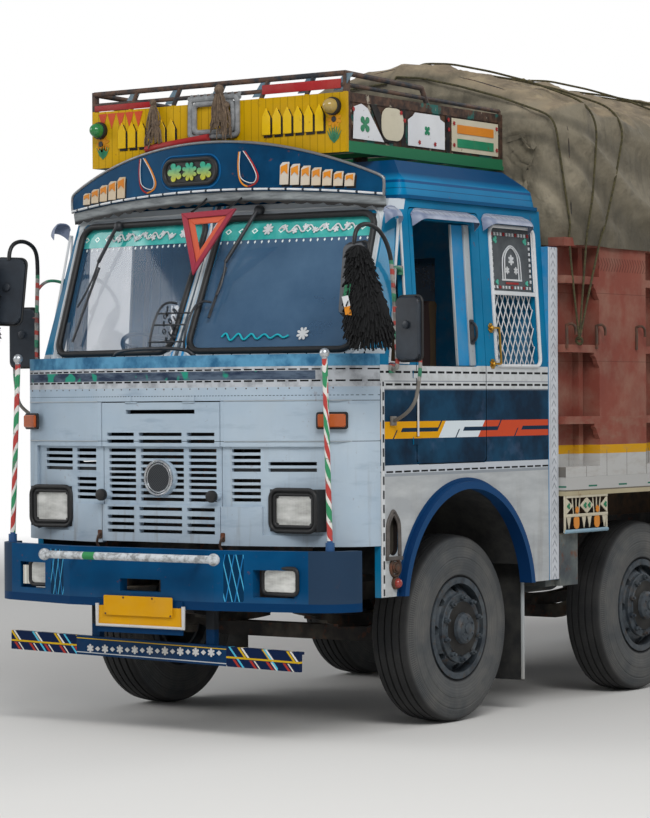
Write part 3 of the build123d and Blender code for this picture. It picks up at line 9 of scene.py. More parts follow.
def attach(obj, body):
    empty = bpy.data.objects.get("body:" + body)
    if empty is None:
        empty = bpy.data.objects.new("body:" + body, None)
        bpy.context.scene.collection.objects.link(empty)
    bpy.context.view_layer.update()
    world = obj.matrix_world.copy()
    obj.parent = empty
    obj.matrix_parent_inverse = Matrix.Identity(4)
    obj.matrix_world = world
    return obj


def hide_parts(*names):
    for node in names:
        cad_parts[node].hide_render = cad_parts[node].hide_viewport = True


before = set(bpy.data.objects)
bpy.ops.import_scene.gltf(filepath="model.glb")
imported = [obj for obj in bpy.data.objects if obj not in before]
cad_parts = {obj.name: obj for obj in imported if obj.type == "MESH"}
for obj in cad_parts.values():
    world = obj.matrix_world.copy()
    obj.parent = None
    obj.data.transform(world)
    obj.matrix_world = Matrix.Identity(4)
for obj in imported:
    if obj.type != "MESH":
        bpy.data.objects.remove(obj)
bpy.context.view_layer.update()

# Places are in metres. The front points to -Y, the truck's left side to +X, the ground is Z = 0.
AXLE_1_Y = -3.376
AXLE_Z = 0.525         # the axles' height, the tyres' radius
CAB_X = 1.203          # the cab side, below its windows
PLAQUE_X = 1.192       # the face that the plaque's small pieces lie on
SHEET = 0.003          # thickness of cloth, rubber strips and rain hoods


def aft(distance):
    """Y of a point so far behind the first axle."""
    return AXLE_1_Y + distance


def unselect():
    if bpy.context.object and bpy.context.object.mode != "OBJECT":
        bpy.ops.object.mode_set(mode="OBJECT")
    bpy.ops.object.select_all(action="DESELECT")


# Camera at the photograph's place, from the part's own solved view
yaw, pitch, roll = radians(35.323), radians(-0.099), radians(-0.367)
ahead = Vector((-sin(yaw) * cos(pitch), cos(yaw) * cos(pitch), sin(pitch)))
level = Vector((cos(yaw), sin(yaw), 0))
upright = level.cross(ahead)
camera_right = cos(roll) * level + sin(roll) * upright
camera_up = -sin(roll) * level + cos(roll) * upright
camera_data = bpy.data.cameras.new("camera")
camera_data.sensor_width = 36.0
camera_data.lens = 2822.9 * 36.0 / 818.0
camera_data.clip_end = 200.0
camera = bpy.data.objects.new("camera", camera_data)
bpy.context.scene.collection.objects.link(camera)
turn = Matrix((camera_right, camera_up, -ahead)).transposed().to_4x4()
camera.matrix_world = Matrix.Translation((9.635, aft(-13.31), 1.782)) @ turn
bpy.context.scene.camera = camera
bpy.context.scene.view_settings.view_transform = "Standard"


# Material maths. A colour is a web-style hex string, and its socket gets it in linear light.
def shade(value):
    channels = [int(value[i:i + 2], 16) / 255 for i in (0, 2, 4)]
    return tuple([c / 12.92 if c <= 0.04045 else ((c + 0.055) / 1.055) ** 2.4 for c in channels] + [1.0])


def supply(tree, socket, value):
    """Link a value to a socket, or set the socket to a colour or a number."""
    if isinstance(value, Value):
        tree.links.new(value.socket, socket)
    else:
        socket.default_value = shade(value) if isinstance(value, str) else value


def operation(kind, swapped=False):
    """An operator's method, which adds a Math node for the two operands, swapped or not."""
    return lambda self, other: self.maths(kind, *((other, self) if swapped else (self, other)))


class Value:
    """A socket of a material's nodes, with plain arithmetic on it."""

    def __init__(self, tree, socket):
        self.tree = tree
        self.socket = socket

    def node(self, kind, inputs, output=0, **settings):
        made = self.tree.nodes.new(kind)
        for key, value in settings.items():
            setattr(made, key, value)
        for key, value in inputs.items():
            supply(self.tree, made.inputs[key], value)
        return Value(self.tree, made.outputs[output])

    def maths(self, operation, *values):
        return self.node("ShaderNodeMath", dict(enumerate(values or (self,))), operation=operation)

    __add__, __radd__ = operation("ADD"), operation("ADD", True)
    __sub__, __rsub__ = operation("SUBTRACT"), operation("SUBTRACT", True)
    __mul__, __rmul__ = operation("MULTIPLY"), operation("MULTIPLY", True)
    __gt__, __lt__ = operation("GREATER_THAN"), operation("LESS_THAN")

    def size(self):
        return self.maths("ABSOLUTE", self)

    def repeat(self, length):
        """Position inside a pattern's repeat, from 0 to its length."""
        return self.maths("FLOORED_MODULO", self, length)

    def sine(self):
        return self.maths("SINE", self)

    def within(self, low, high):
        """1 between two places, otherwise 0."""
        return (self > low) * (self < high)

    def fade(self, start, end):
        """0 up to start, 1 from end."""
        return self.node("ShaderNodeMapRange", {0: self, 1: start, 2: end, 3: 0.0, 4: 1.0}, clamp=True)

    def both(self, other):
        return self.maths("MAXIMUM", self, other)

    def clouds(self, scale, detail=4.0):
        """Soft noise round a vector, 0 to 1."""
        return self.node("ShaderNodeTexNoise", {"Vector": self, "Scale": scale, "Detail": detail,
            "Roughness": 0.6})

    def stretched(self, x, y, z):
        return self.node("ShaderNodeMapping", {"Vector": self, "Scale": (x, y, z)})

    def parts(self):
        """X, Y and Z of a vector."""
        split = self.tree.nodes.new("ShaderNodeSeparateXYZ")
        self.tree.links.new(self.socket, split.inputs[0])
        return tuple(Value(self.tree, split.outputs[i]) for i in range(3))


class Finish:
    """One material: its place values and its shader."""

    def __init__(self, name):
        self.material = bpy.data.materials.new(name)
        self.material.use_nodes = True
        self.tree = self.material.node_tree
        self.shader = self.tree.nodes["Principled BSDF"]
        source = self.tree.nodes.new("ShaderNodeTexCoord")
        self.place = Value(self.tree, source.outputs["Object"])
        self.x, self.y, self.z = self.place.parts()
        self.d = self.y - AXLE_1_Y

    def mix(self, share, first, second):
        """A colour between two, by a share from 0 to 1."""
        return self.place.node("ShaderNodeMix", {0: share, 6: first, 7: second}, output=2, data_type="RGBA")

    def layers(self, base, *over):
        """A base colour with (mask, colour) layers painted over it in turn."""
        colour = base
        for mask, paint in over:
            colour = self.mix(mask, colour, paint)
        return colour

    def facing(self):
        """The surface's outward direction, as X, Y and Z."""
        source = self.tree.nodes.new("ShaderNodeNewGeometry")
        return Value(self.tree, source.outputs["Normal"]).parts()

    def spots(self, scale, start, end, detail=4.0):
        """Cloudy spots with soft edges, 0 to 1."""
        return self.place.clouds(scale, detail).fade(start, end)

    def done(self, colour, roughness=0.5, metallic=0.0, bump=None, depth=0.002, coat=None, alpha=None):
        relief = None
        if bump is not None:
            relief = self.place.node("ShaderNodeBump", {"Height": bump, "Strength": 0.6, "Distance": depth})
        for socket, value in (("Base Color", colour), ("Roughness", roughness), ("Metallic", metallic),
                ("Coat Weight", coat), ("Alpha", alpha), ("Normal", relief)):
            if value is not None:
                supply(self.tree, self.shader.inputs[socket], value)
        return self.material


DUST = "a59a86"
RUST = "6d3b22"
BLACK = "141415"


def painted(name, colour, second=None, roughness=0.42, dirt=0.35, chips=0.5, low_dust=1.2):
    """Hand-brushed gloss paint with dust low down, small chips and faint brush marks."""
    f = Finish(name)
    f.shader.inputs["Specular IOR Level"].default_value = 0.06
    broad = f.place.clouds(1.6, 5.0)
    fine = f.place.clouds(38.0, 3.0)
    brush = f.place.stretched(9.0, 9.0, 90.0).clouds(4.0, 3.0)
    base = f.mix(broad.fade(0.35, 0.7), colour, second or colour)
    dusty = (f.spots(5.0, 0.42, 0.75, 6.0) * dirt + (1 - f.z.fade(0.2, low_dust)) * 0.3)
    base = f.mix(dusty.fade(0.0, 1.0), base, DUST)
    chipped = (fine * 0.6 + f.place.clouds(11.0, 4.0) * 0.5).fade(0.69, 0.73) * chips
    base = f.mix(chipped, base, RUST)
    return f, base, roughness + dusty * 0.3 + chipped * 0.2, brush * 0.5 + chipped * -1.0


def plain_paint(name, colour, second=None, **finish):
    f, base, rough, relief = painted(name, colour, second, **finish)
    return f.done(base, rough, bump=relief, depth=0.0006, coat=0.03)


# Cab paint: zones by height and by distance behind the first axle
def paint_cab_side():
    f, base, rough, relief = painted("cab_side_paint", "02648c", "0a78a2", dirt=0.03, low_dust=0.9)
    side = f.facing()[0].size() > 0.6
    navy_blot = f.mix(f.spots(3.0, 0.4, 0.6), "0a2236", "123d58")
    navy_blot = f.mix(f.spots(4.5, 0.58, 0.7, 5.0) * 0.35, navy_blot, "4c5c78")
    sheet = f.mix(f.place.stretched(1.0, 1.0, 4.0).clouds(3.0).fade(0.35, 0.7), "a3a6a8", "b9bcbc")
    grime = f.place.stretched(3.0, 3.0, 0.6).clouds(2.5, 6.0).fade(0.5, 0.72) * (1 - f.z.fade(0.85, 1.5))
    sheet = f.mix(grime * 0.6, sheet, "7a7266")
    # A meander in yellow, white and orange along the navy panel
    high = f.z - 1.640
    along = f.d + 0.75 - high * 0.8
    band = high.size() < 0.046
    flow = f.mix(along > 0.45, "d99a08", "cfd8dc")
    flow = f.mix(along > 0.855, flow, "c2492a")
    turn = along.repeat(0.62)
    key = turn.within(0.05, 0.40) * (high.size() < 0.011) + turn.within(0.0, 0.012) * (high < 0.0)
    key = key + turn.within(0.40, 0.414) * (high > -0.011)
    navy = f.layers(navy_blot, (band, flow), (key * band, "0f2c42"))
    # White belt with two rows of black dashes, and another under the navy panel
    dash = f.d.repeat(0.085) < 0.066
    belt = f.mix(f.spots(14.0, 0.5, 0.7) * 0.5, "c2c5c6", "9c9d98")
    belt = f.layers(belt, (f.z.within(1.946, 1.958) * dash, BLACK),
        (f.z.within(1.879, 1.891) * dash, BLACK), (f.z.within(1.900, 1.906), "8f9297"),
        (f.z.within(1.855, 1.862), "757a80"))
    low_belt = f.layers("b9bec4", (f.z.within(1.412, 1.422) * dash, BLACK), (f.z < 1.408, "8f959a"))
    colour = f.layers(base, (side * f.z.within(1.452, 1.855), navy),
        (side * f.z.within(1.855, 1.990), belt), (side * f.z.within(1.392, 1.452), low_belt),
        (side * (f.z < 1.392), sheet))
    # Blue lip round the wheel arch, darker on its faces that turn forwards or backwards, and the dark inside
    # of the niche
    from_arch = ((f.d + 0.061) * (f.d + 0.061) + (f.z - 0.667) * (f.z - 0.667)).maths("SQRT")
    lip = f.mix(f.facing()[1].size().fade(0.25, 0.75), "17406b", "0c2f58")
    colour = f.mix((from_arch < 0.703) * (f.z < 1.40) * (f.z > 0.75), colour, lip)
    # Faces in the door gaps are painted near-black: painted shade between the doors and the cab.
    gap = (1 - side) * (f.d.within(-0.570, -0.540) + f.d.within(0.145, 0.175)) * f.z.within(1.44, 2.0)
    colour = f.mix(gap, colour, "10161b")
    colour = f.mix(f.d.within(-0.86, -0.72) * f.z.within(0.93, 1.24) * (f.x.size() < 1.2015), colour,
        "231f1e")
    # Faces behind the side skin, round the windows and inside the cab, are painted dark blue-grey: painted
    # shade.
    leaning = f.z.fade(1.985, 2.895) * 0.055
    inner = (f.x.size() + leaning < 1.172) * (f.facing()[1].size() < 0.5)
    colour = f.mix(inner, colour, "1c252c")
    return f.done(colour, rough, bump=relief, depth=0.0008, coat=0.03)


def paint_cab_front():
    # The front is white paint, painted here as a darker blue-grey: painted shade over the whole front.
    f, base, rough, relief = painted("cab_front_paint", "9fb1c1", "b1bfca", dirt=0.08, chips=0.25)
    scuff = f.place.stretched(1.0, 1.0, 5.0).clouds(4.0, 5.0)
    colour = f.mix(scuff.fade(0.55, 0.75) * 0.5, base, "8697a8")
    top = f.mix(f.spots(9.0, 0.4, 0.65), "5a93b4", "2f6184")
    # Dotted seam, dark band and belt under the windscreen
    dash = f.x.repeat(0.062) < 0.046
    belt = f.mix(f.spots(16.0, 0.45, 0.7), "b7bbc0", "8f9296")
    belt = f.layers(belt, (f.z.within(1.965, 1.973) * dash, BLACK), (f.z.within(1.903, 1.912) * dash, BLACK))
    gloomy = f.mix(f.place.stretched(2.0, 2.0, 8.0).clouds(3.0).fade(0.4, 0.6), "2c384c", "566475")
    painted_leaf = (f.spots(7.0, 0.56, 0.6, 2.0)) * (f.x < 0.7)
    gloomy = f.layers(gloomy, (painted_leaf, "2b8f79"))
    colour = f.layers(colour, (f.z > 1.985, top), (f.z.within(1.875, 1.985), belt),
        (f.z.within(1.915, 1.962) * (f.x < 0.95), gloomy), (f.z.within(1.828, 1.832)
        * (f.x.repeat(0.02) < 0.012), "4c555e"), (f.z.within(1.800, 1.8035) + f.z.within(1.5835, 1.587),
        "3e4246"))
    streak = f.place.stretched(9.0, 9.0, 0.7).clouds(3.0, 5.0).fade(0.56, 0.74) * (1 - f.z.fade(1.0, 1.75))
    colour = f.mix(streak * 0.45, colour, "7b6f62")
    # Faces turned towards the inside of the cab are painted dark grey: painted shade.
    back = f.facing()[1] > 0.5
    colour = f.mix(back, colour, "39424b")
    return f.done(colour, rough, bump=relief, depth=0.0006, coat=0.03)


def paint_windscreen_frame():
    f, base, rough, relief = painted("windscreen_frame_paint", "04658c", "157ba3", dirt=0.04)
    middle = f.x.size() < 0.058
    rail = f.layers(base, (f.z > 2.835, "b9c0c6"), (f.z < 2.078, "aeb6bb"),
        (f.z.within(2.048, 2.062) * (f.x.repeat(0.11) < 0.008), BLACK))
    side_post = f.x.size() > 1.03
    rail = f.mix(side_post * (f.x.size() < 1.075), rail, "c3c9cc")
    pillar = f.layers(rail, (middle, "a9b6bf"), (f.x.size().within(0.030, 0.046), "2b8cc4"),
        (f.x.size() < 0.014, "46525c"))
    return f.done(pillar, rough, bump=relief, depth=0.0006, coat=0.2)


def paint_crown():
    f, base, rough, relief = painted("crown_paint", "013050", "054468", dirt=0.01, chips=0.5, low_dust=0.8)
    glow = f.spots(6.0, 0.5, 0.8) * 0.4
    colour = f.mix(glow * 0.6, base, "0f5f92")
    front = f.facing()[1] < -0.3
    colour = f.mix((1 - front) * 0.5, colour, "4c5258")
    return f.done(colour, rough, bump=relief, depth=0.0008, coat=0.03)


def paint_roof():
    f, base, rough, relief = painted("roof_paint", "006a98", "007aaa", dirt=0.01, chips=0.3, low_dust=0.5)
    lip = f.z.within(2.893, 2.916)
    colour = f.mix(lip, base, "0a4c75")
    colour = f.layers(colour, (f.z.fade(3.005, 3.045), "04406a"), (f.z.within(2.985, 3.000), "044a7a"),
        (f.z.within(2.952, 2.957), "05507a"))
    return f.done(colour, rough, bump=relief, depth=0.001, coat=0.03)


def paint_carrier():
    f, base, rough, relief = painted("carrier_paint", "b38a02", "c99e04", dirt=0.06, chips=0.5)
    pipe = f.z > 3.478
    posts = (f.y > aft(-0.738)) * (f.z < 3.478)
    rusty = f.mix(f.spots(13.0, 0.4, 0.62, 5.0), "33363a", "5f4a3e")
    slats = f.mix(f.spots(20.0, 0.4, 0.7), "362c28", "60483a")
    slats = f.layers(slats, (f.spots(6.0, 0.58, 0.62, 5.0) * 0.8, "23655f"),
        (f.spots(9.0, 0.62, 0.66, 5.0) * 0.8, "a59c8a"))
    ribs = (f.x.repeat(0.05) < 0.006) * (f.y < aft(-0.74))
    colour = f.layers(base, (ribs * 0.55, "7d6503"), (posts, slats), (pipe, rusty),
        (f.z.within(3.149, 3.212) * (f.y > aft(-0.738)), "2a6d4b"))
    return f.done(colour, rough, bump=relief, depth=0.001, coat=0.03)


def paint_bumper():
    f, base, rough, relief = painted("bumper_paint", "003a62", "024f7d", dirt=0.01, chips=0.35,
        low_dust=0.8)
    near_fog = f.x.size().within(0.555, 0.670) * f.z.within(0.74, 0.99)
    rising = (f.x.size() + f.z * 0.24).repeat(0.041) < 0.006
    falling = (f.x.size() - f.z * 0.20).repeat(0.052) < 0.006
    corner = f.x.size() > 1.03
    guard = f.y < aft(-1.475)
    scuffed = f.mix(f.spots(24.0, 0.45, 0.6, 5.0), "c9cdd0", "8d8f90")
    colour = f.layers(base, (near_fog, "04304f"), (falling * near_fog, "1f6fa8"),
        (rising * near_fog, "49a7d0"), (corner * 0.85, "2b3a4c"), (f.z < 0.735, "06345c"), (guard, scuffed),
        (guard * f.x.within(-0.30, -0.22), "3c8a55"))
    return f.done(colour, rough, bump=relief, depth=0.0008, coat=0.03)


def paint_lower_bar():
    f, base, rough, relief = painted("lower_bar_paint", "04284a", "083a62", dirt=0.06, chips=0.3,
        low_dust=0.3)
    middle = f.z - (0.452 - f.x * 0.01746)
    slant = f.x + middle * 0.9
    far = f.x.size()
    ends = f.layers("0d1f40", (slant.repeat(0.16).within(0.0, 0.016) * (middle > 0), "c9a21a"),
        (slant.repeat(0.16).within(0.022, 0.036) * (middle > 0), "d8d6cf"),
        (slant.repeat(0.11).within(0.0, 0.018) * (middle < -0.012), "a5352a"),
        (slant.repeat(0.11).within(0.030, 0.040) * (middle < -0.012), "cfcdc4"),
        (slant.repeat(0.23).within(0.120, 0.134) * (far < 0.86), "4fb3cf"),
        (middle.within(-0.008, 0.002), "c9a21a"))
    thin = f.layers(base, (middle.within(0.036, 0.041), "c9a21a"), (middle.within(-0.041, -0.036),
        "b9bcbf"))
    colour = f.layers(thin, (far > 0.52, ends), (f.z > 0.58, "2a2c2f"))
    return f.done(colour, rough, bump=relief, depth=0.0005, coat=0.03)


def paint_body():
    f, base, rough, relief = painted("body_paint", "7a4238", "8a4d40", roughness=0.62, dirt=0.3, chips=0.25,
        low_dust=1.6)
    face = f.x.size() > 1.110
    lower = f.z.within(1.404, 1.56)
    bands = f.layers(base, (face * f.z.within(1.478, 1.530), "c9951c"), (face * (f.z < 1.478), "b4b3b0"),
        (face * (f.z < 1.500) * (f.y.repeat(0.243) < 0.005), "6d6a66"))
    smear = f.place.stretched(2.0, 2.0, 7.0).clouds(3.0, 6.0).fade(0.5, 0.75)
    colour = f.mix(smear * 0.4 * face * (f.z < 1.7), bands, "8a7866")
    seam_line = (f.z.repeat(0.405) < 0.004) * face * (f.z > 1.7)
    herringbone = ((f.y + (f.z - 2.605).size() * 0.6).repeat(0.032) < 0.012) * f.z.within(2.565,
        2.645) * (f.x.size() > 1.246)
    colour = f.mix(seam_line * 0.5 + herringbone * 0.55, colour, "4a2a22")
    planks = f.mix(f.place.stretched(1.0, 12.0, 1.0).clouds(4.0, 6.0), "5a3c2c", "7e5b42")
    inside = (f.x.size() < 1.104)
    colour = f.mix(inside * 0.9, colour, planks)
    return f.done(colour, rough + lower * 0.05, bump=relief, depth=0.001, coat=0.05)


def paint_bed_floor():
    f, base, rough, relief = painted("bed_floor_paint", "b3a88c", "a29778", roughness=0.6, dirt=0.35,
        chips=0.5, low_dust=1.35)
    under = f.x.size() < 1.158
    steel = f.mix(f.spots(8.0, 0.4, 0.65), "3c3630", "5b4636")
    boards = f.mix(f.place.stretched(14.0, 0.8, 1.0).clouds(4.0, 6.0), "4c3a2a", "7d6548")
    colour = f.layers(base, (under, steel), ((f.z > 1.36) * under, boards),
        ((f.x.size() > 1.20) * (f.z > 1.268), "b0afac"), (f.z.within(1.262, 1.270), "6d675c"),
        (f.z.within(1.284, 1.294) * (f.y.repeat(0.36) < 0.10), "2f6b58"))
    return f.done(colour, rough, bump=relief, depth=0.001)


def chassis_finish(name, colour, second):
    f = Finish(name)
    mottled = f.mix(f.spots(6.0, 0.4, 0.65, 6.0), colour, second)
    rusty = f.spots(17.0, 0.55, 0.68, 5.0)
    colour_out = f.mix(rusty * 0.7, mottled, RUST)
    dusty = f.facing()[2].fade(0.3, 1.0) * 0.55 + f.spots(3.0, 0.5, 0.8) * 0.3
    colour_out = f.mix(dusty, colour_out, DUST)
    return f.done(colour_out, 0.72 + rusty * 0.15, metallic=0.15, bump=f.place.clouds(60.0, 4.0),
        depth=0.0012)


def metal_finish(name, colour, roughness=0.32, wear=0.4, metallic=1.0):
    f = Finish(name)
    tarnish = f.spots(22.0, 0.45, 0.75, 5.0) * wear
    mixed = f.mix(tarnish, colour, RUST)
    return f.done(mixed, roughness + tarnish * 0.35, metallic=metallic - tarnish * 0.6,
        bump=f.place.clouds(120.0, 3.0), depth=0.0003)


def glass_finish(name, colour, roughness, alpha):
    streaks = 0.1
    f = Finish(name)
    film = f.spots(3.0, 0.45, 0.8, 6.0)
    mixed = f.mix(film * streaks * 2, colour, DUST)
    f.shader.inputs["IOR"].default_value = 1.5
    f.shader.inputs["Specular IOR Level"].default_value = 0.6
    return f.done(mixed, roughness + film * 0.12, alpha=film * streaks + alpha)


def windscreen_glass():
    f = Finish("windscreen_glass")
    film = f.spots(2.2, 0.4, 0.8, 6.0)
    front = f.y < 0
    # The glass is painted blue-grey and partly opaque: a painted reflection of the sky.
    tone = f.mix(film, "3a5a78", "52708c")
    # Plain sea-green strip along the top, with a row of small white drops under it
    top_strip = (f.z > 2.695) * front
    strip = f.mix(f.spots(9.0, 0.4, 0.7), "2a9d97", "57b7b0")
    petal = ((f.x + 0.03).repeat(0.085) - 0.0425).size() + (f.z - 2.745).size() * 1.3
    strip = f.mix(petal.within(0.012, 0.022), strip, "dfece6")
    drops = ((f.x.repeat(0.044) - 0.022).size() * 1.6 + (f.z - 2.682).size()) < 0.010
    colour = f.layers(tone, (top_strip, strip), (drops * front, "dfe6e4"))
    dense = (top_strip + drops * front).fade(0.0, 1.0)
    # The left pane is made more opaque than the right: a darker painted reflection.
    left_pane_reflection = f.x.fade(-0.1, 0.1)
    body = 0.36 + left_pane_reflection * 0.42 + film * 0.08
    return f.done(colour, 0.05 + film * 0.06, alpha=(body + dense).fade(0.0, 1.0), coat=0.0)


def cloth_finish():
    f = Finish("load_sheet_cloth")
    stain = f.place.stretched(1.0, 0.6, 1.1).clouds(1.3, 6.0)
    fine = f.place.clouds(8.0, 6.0)
    top = f.facing()[2].fade(0.55, 0.90)
    base = f.mix(stain.fade(0.38, 0.62), "5a5344", "8c8370")
    base = f.mix(fine.fade(0.50, 0.72) * 0.5, base, "38352c")
    pale = f.mix(fine.fade(0.4, 0.7), "857661", "a8977a")
    colour = f.mix(top, base, pale)
    streak = f.place.stretched(6.0, 5.0, 0.8).clouds(1.7, 5.0).fade(0.52, 0.70)
    colour = f.mix(streak * 0.40, colour, "37342b")
    weave = (f.y * 900.0).sine() * 0.25 + (f.z * 900.0).sine() * 0.25
    # Painted shade in the fold valleys that fan out from the gathered front corners
    back, fall = f.d - 0.505, 3.60 - f.z
    fold_valley_shade = (back.maths("ARCTAN2", back, fall) * 11.0).sine().size().fade(0.70, 1.0) * (1 - f.d.fade(1.3, 3.0))
    colour = f.mix(fold_valley_shade * (1 - top) * 0.45, colour, "2b281f")
    wrinkle = (f.place.stretched(1.0, 1.3, 0.8).clouds(2.6, 4.0) - 0.5).size() + (f.place.clouds(6.0, 3.0)
        - 0.5).size() * 0.5
    return f.done(colour, 0.85, bump=weave * 0.05 + fine * 0.5 - wrinkle * 3.0, depth=0.022)


def striped_pole():
    f = Finish("marker_pole_paint")
    around = f.place.maths("ARCTAN2", f.y - aft(-1.23), f.x.size() - 1.09)
    spiral = (f.z + around * 0.035).repeat(0.21)
    colour = f.layers("d9d8d2", (spiral.within(0.0, 0.07), "b23a34"),
        (spiral.within(0.105, 0.175), "2c8a5b"))
    silver = f.z > 2.020
    chips = f.spots(30.0, 0.6, 0.66, 4.0)
    colour = f.layers(colour, (chips * 0.7, "6a6460"), (silver, "c6c9cc"), (f.z < 1.065, "24507f"))
    return f.done(colour, 0.38, metallic=silver * 0.9, bump=chips, depth=0.0006)


def lamp_finish():
    f = Finish("lamp_lens")
    rear = f.y > 3.0
    ribs = (f.x * 260.0).sine() * 0.5 + 0.5
    front = f.mix(ribs, "b9b7ab", "e4e2d8")
    reds = f.layers("8e1d18", (f.x.size() < 1.03, "c07a1c"))
    colour = f.mix(rear, front, reds)
    return f.done(colour, 0.12, bump=ribs, depth=0.003, coat=0.8)


def matt_finish(name, colour, second, roughness=0.75, scale=30.0):
    f = Finish(name)
    base = f.mix(f.place.clouds(scale, 4.0).fade(0.35, 0.7), colour, second)
    return f.done(base, roughness, bump=f.place.clouds(scale * 3, 3.0), depth=0.0008)


def seat_finish():
    f = Finish("seat_cover")
    weave = (f.x * 700.0).sine() * 0.5 + (f.y * 700.0).sine() * 0.5
    stripe = (f.x.repeat(0.12) < 0.03)
    colour = f.layers("2c1917", (stripe, "4b3a22"), (f.spots(9.0, 0.5, 0.8) * 0.3, BLACK))
    return f.done(colour, 0.85, bump=weave, depth=0.001)


cab_side_paint = paint_cab_side()
cab_front_paint = paint_cab_front()
frame_paint = paint_windscreen_frame()
body_paint = paint_body()
chassis_paint = chassis_finish("chassis_paint", "1d1c1c", "37322e")
tank_paint = chassis_finish("tank_paint", "3c4247", "59605f")
flap_rubber = matt_finish("flap_rubber", "161718", "302f2c", 0.85, 12.0)
hoop_steel = metal_finish("hoop_steel", "4b4a4a", 0.5, 0.9)

# The wheels get their finishes further down, and other nodes are replaced by pieces with their own
node_finishes = {
    cab_side_paint: ["cab_side_left", "cab_side_right", "door_left", "door_right"],
    cab_front_paint: ["cab_front", "grille_flap"],
    frame_paint: ["windscreen_frame"],
    plain_paint("cab_back_paint", "1a7db2", "2f93c4"): ["cab_back"],
    matt_finish("cab_floor_sheet", "33383c", "4e4a44", 0.7, 8.0): ["cab_floor"],
    paint_roof(): ["cab_roof"],
    paint_crown(): ["sun_visor"],
    paint_carrier(): ["roof_carrier"],
    paint_bumper(): ["front_bumper"],
    paint_lower_bar(): ["lower_bar"],
    body_paint: ["bed_side_left", "bed_side_right", "headboard", "tailgate"],
    paint_bed_floor(): ["bed_floor"],
    chassis_paint: ["chassis_frame", "leaf_springs", "front_axles", "rear_axles", "driveline", "gate_hinges",
                    "knuckle_1l", "knuckle_1r", "knuckle_2l", "knuckle_2r"],
    tank_paint: ["side_tanks"],
    flap_rubber: ["mudguards"],
    matt_finish("lamp_rubber", "111112", "202021", 0.6, 40.0): ["lamp_surrounds"],
    lamp_finish(): ["lamps"],
    windscreen_glass(): ["cab_glass"],
    striped_pole(): ["marker_poles"],
    matt_finish("dash_plastic", "202226", "2c2f33", 0.55, 50.0): ["dashboard"],
    matt_finish("steering_plastic", "17181a", "26282b", 0.45, 40.0): ["steering_wheel"],
    hoop_steel: ["tarp_hoops"],
}


def give(piece, finish):
    piece.data.materials.clear()
    piece.data.materials.append(finish)


for finish, nodes in node_finishes.items():
    for node in nodes:
        give(bpy.data.objects[node], finish)

# Studio: pale floor that turns to the white of the background, and soft light
unselect()
bpy.ops.mesh.primitive_grid_add(x_subdivisions=8, y_subdivisions=8, size=120.0, location=(0, 0, -0.001))
floor = bpy.context.object
floor.name = "studio_floor"
f = Finish("studio_floor_finish")
glow = f.place.node("ShaderNodeEmission", {"Color": (1, 1, 1, 1), "Strength": 1.0})
source = f.tree.nodes.new("ShaderNodeLightPath")
seen = Value(f.tree, source.outputs["Is Camera Ray"])
away = (f.x * f.x + f.y * f.y).fade(120.0, 420.0)
f.done("dcdad6", 0.9)
blend = f.place.node("ShaderNodeMixShader", {0: away * seen})
f.tree.links.new(f.shader.outputs[0], blend.socket.node.inputs[1])
f.tree.links.new(glow.socket, blend.socket.node.inputs[2])
f.tree.links.new(blend.socket, f.tree.nodes["Material Output"].inputs[0])
floor.data.materials.append(f.material)

world = bpy.data.worlds.new("studio_world")
bpy.context.scene.world = world
world.use_nodes = True
tree = world.node_tree
sky = tree.nodes["Background"]
sky.inputs[0].default_value = (0.93, 0.96, 1.0, 1)
sky.inputs[1].default_value = 0.46
white = tree.nodes.new("ShaderNodeBackground")
white.inputs[0].default_value = (1, 1, 1, 1)
white.inputs[1].default_value = 1.0
path = tree.nodes.new("ShaderNodeLightPath")
camera_ray = Value(tree, path.outputs["Is Camera Ray"])
seen = camera_ray.both(Value(tree, path.outputs["Is Transmission Ray"]))
either = tree.nodes.new("ShaderNodeMixShader")
tree.links.new(seen.socket, either.inputs[0])
tree.links.new(sky.outputs[0], either.inputs[1])
tree.links.new(white.outputs[0], either.inputs[2])
tree.links.new(either.outputs[0], tree.nodes["World Output"].inputs[0])


def soft_light(name, place, target, width, watts):
    data = bpy.data.lights.new(name, "AREA")
    data.shape = "RECTANGLE"
    data.size = width
    data.size_y = width * 0.7
    data.energy = watts
    lamp = bpy.data.objects.new(name, data)
    bpy.context.scene.collection.objects.link(lamp)
    lamp.location = place
    lamp.rotation_euler = (Vector(target) - Vector(place)).to_track_quat("-Z", "Y").to_euler()


soft_light("key", (8.0, -11.0, 10.0), (0, -2.5, 1.2), 7.0, 1050)
soft_light("fill", (-9.0, -9.0, 6.0), (0, -3.0, 1.5), 7.0, 330)
soft_light("rear", (5.0, 12.0, 9.0), (0, 2.0, 1.5), 7.0, 420)


def bumps(a, b, c):
    """Smooth noise between -1 and 1 at a place."""
    return noise.noise(Vector((a, b, c)))


# Making pieces, as by hand
def pick_only(piece):
    unselect()
    piece.select_set(True)
    bpy.context.view_layer.objects.active = piece


def start_edit():
    bpy.ops.object.mode_set(mode="EDIT")
    bpy.ops.mesh.select_all(action="SELECT")


def end_edit():
    bpy.ops.object.mode_set(mode="OBJECT")


def face_outward(piece):
    pick_only(piece)
    start_edit()
    bpy.ops.mesh.normals_make_consistent(inside=False)
    end_edit()
    return piece


def apply_modifier(piece, kind, **settings):
    """Give a piece a modifier and apply it."""
    modifier = piece.modifiers.new(kind, kind)
    for key, value in settings.items():
        setattr(modifier, key, value)
    pick_only(piece)
    bpy.ops.object.modifier_apply(modifier=modifier.name)
    return piece


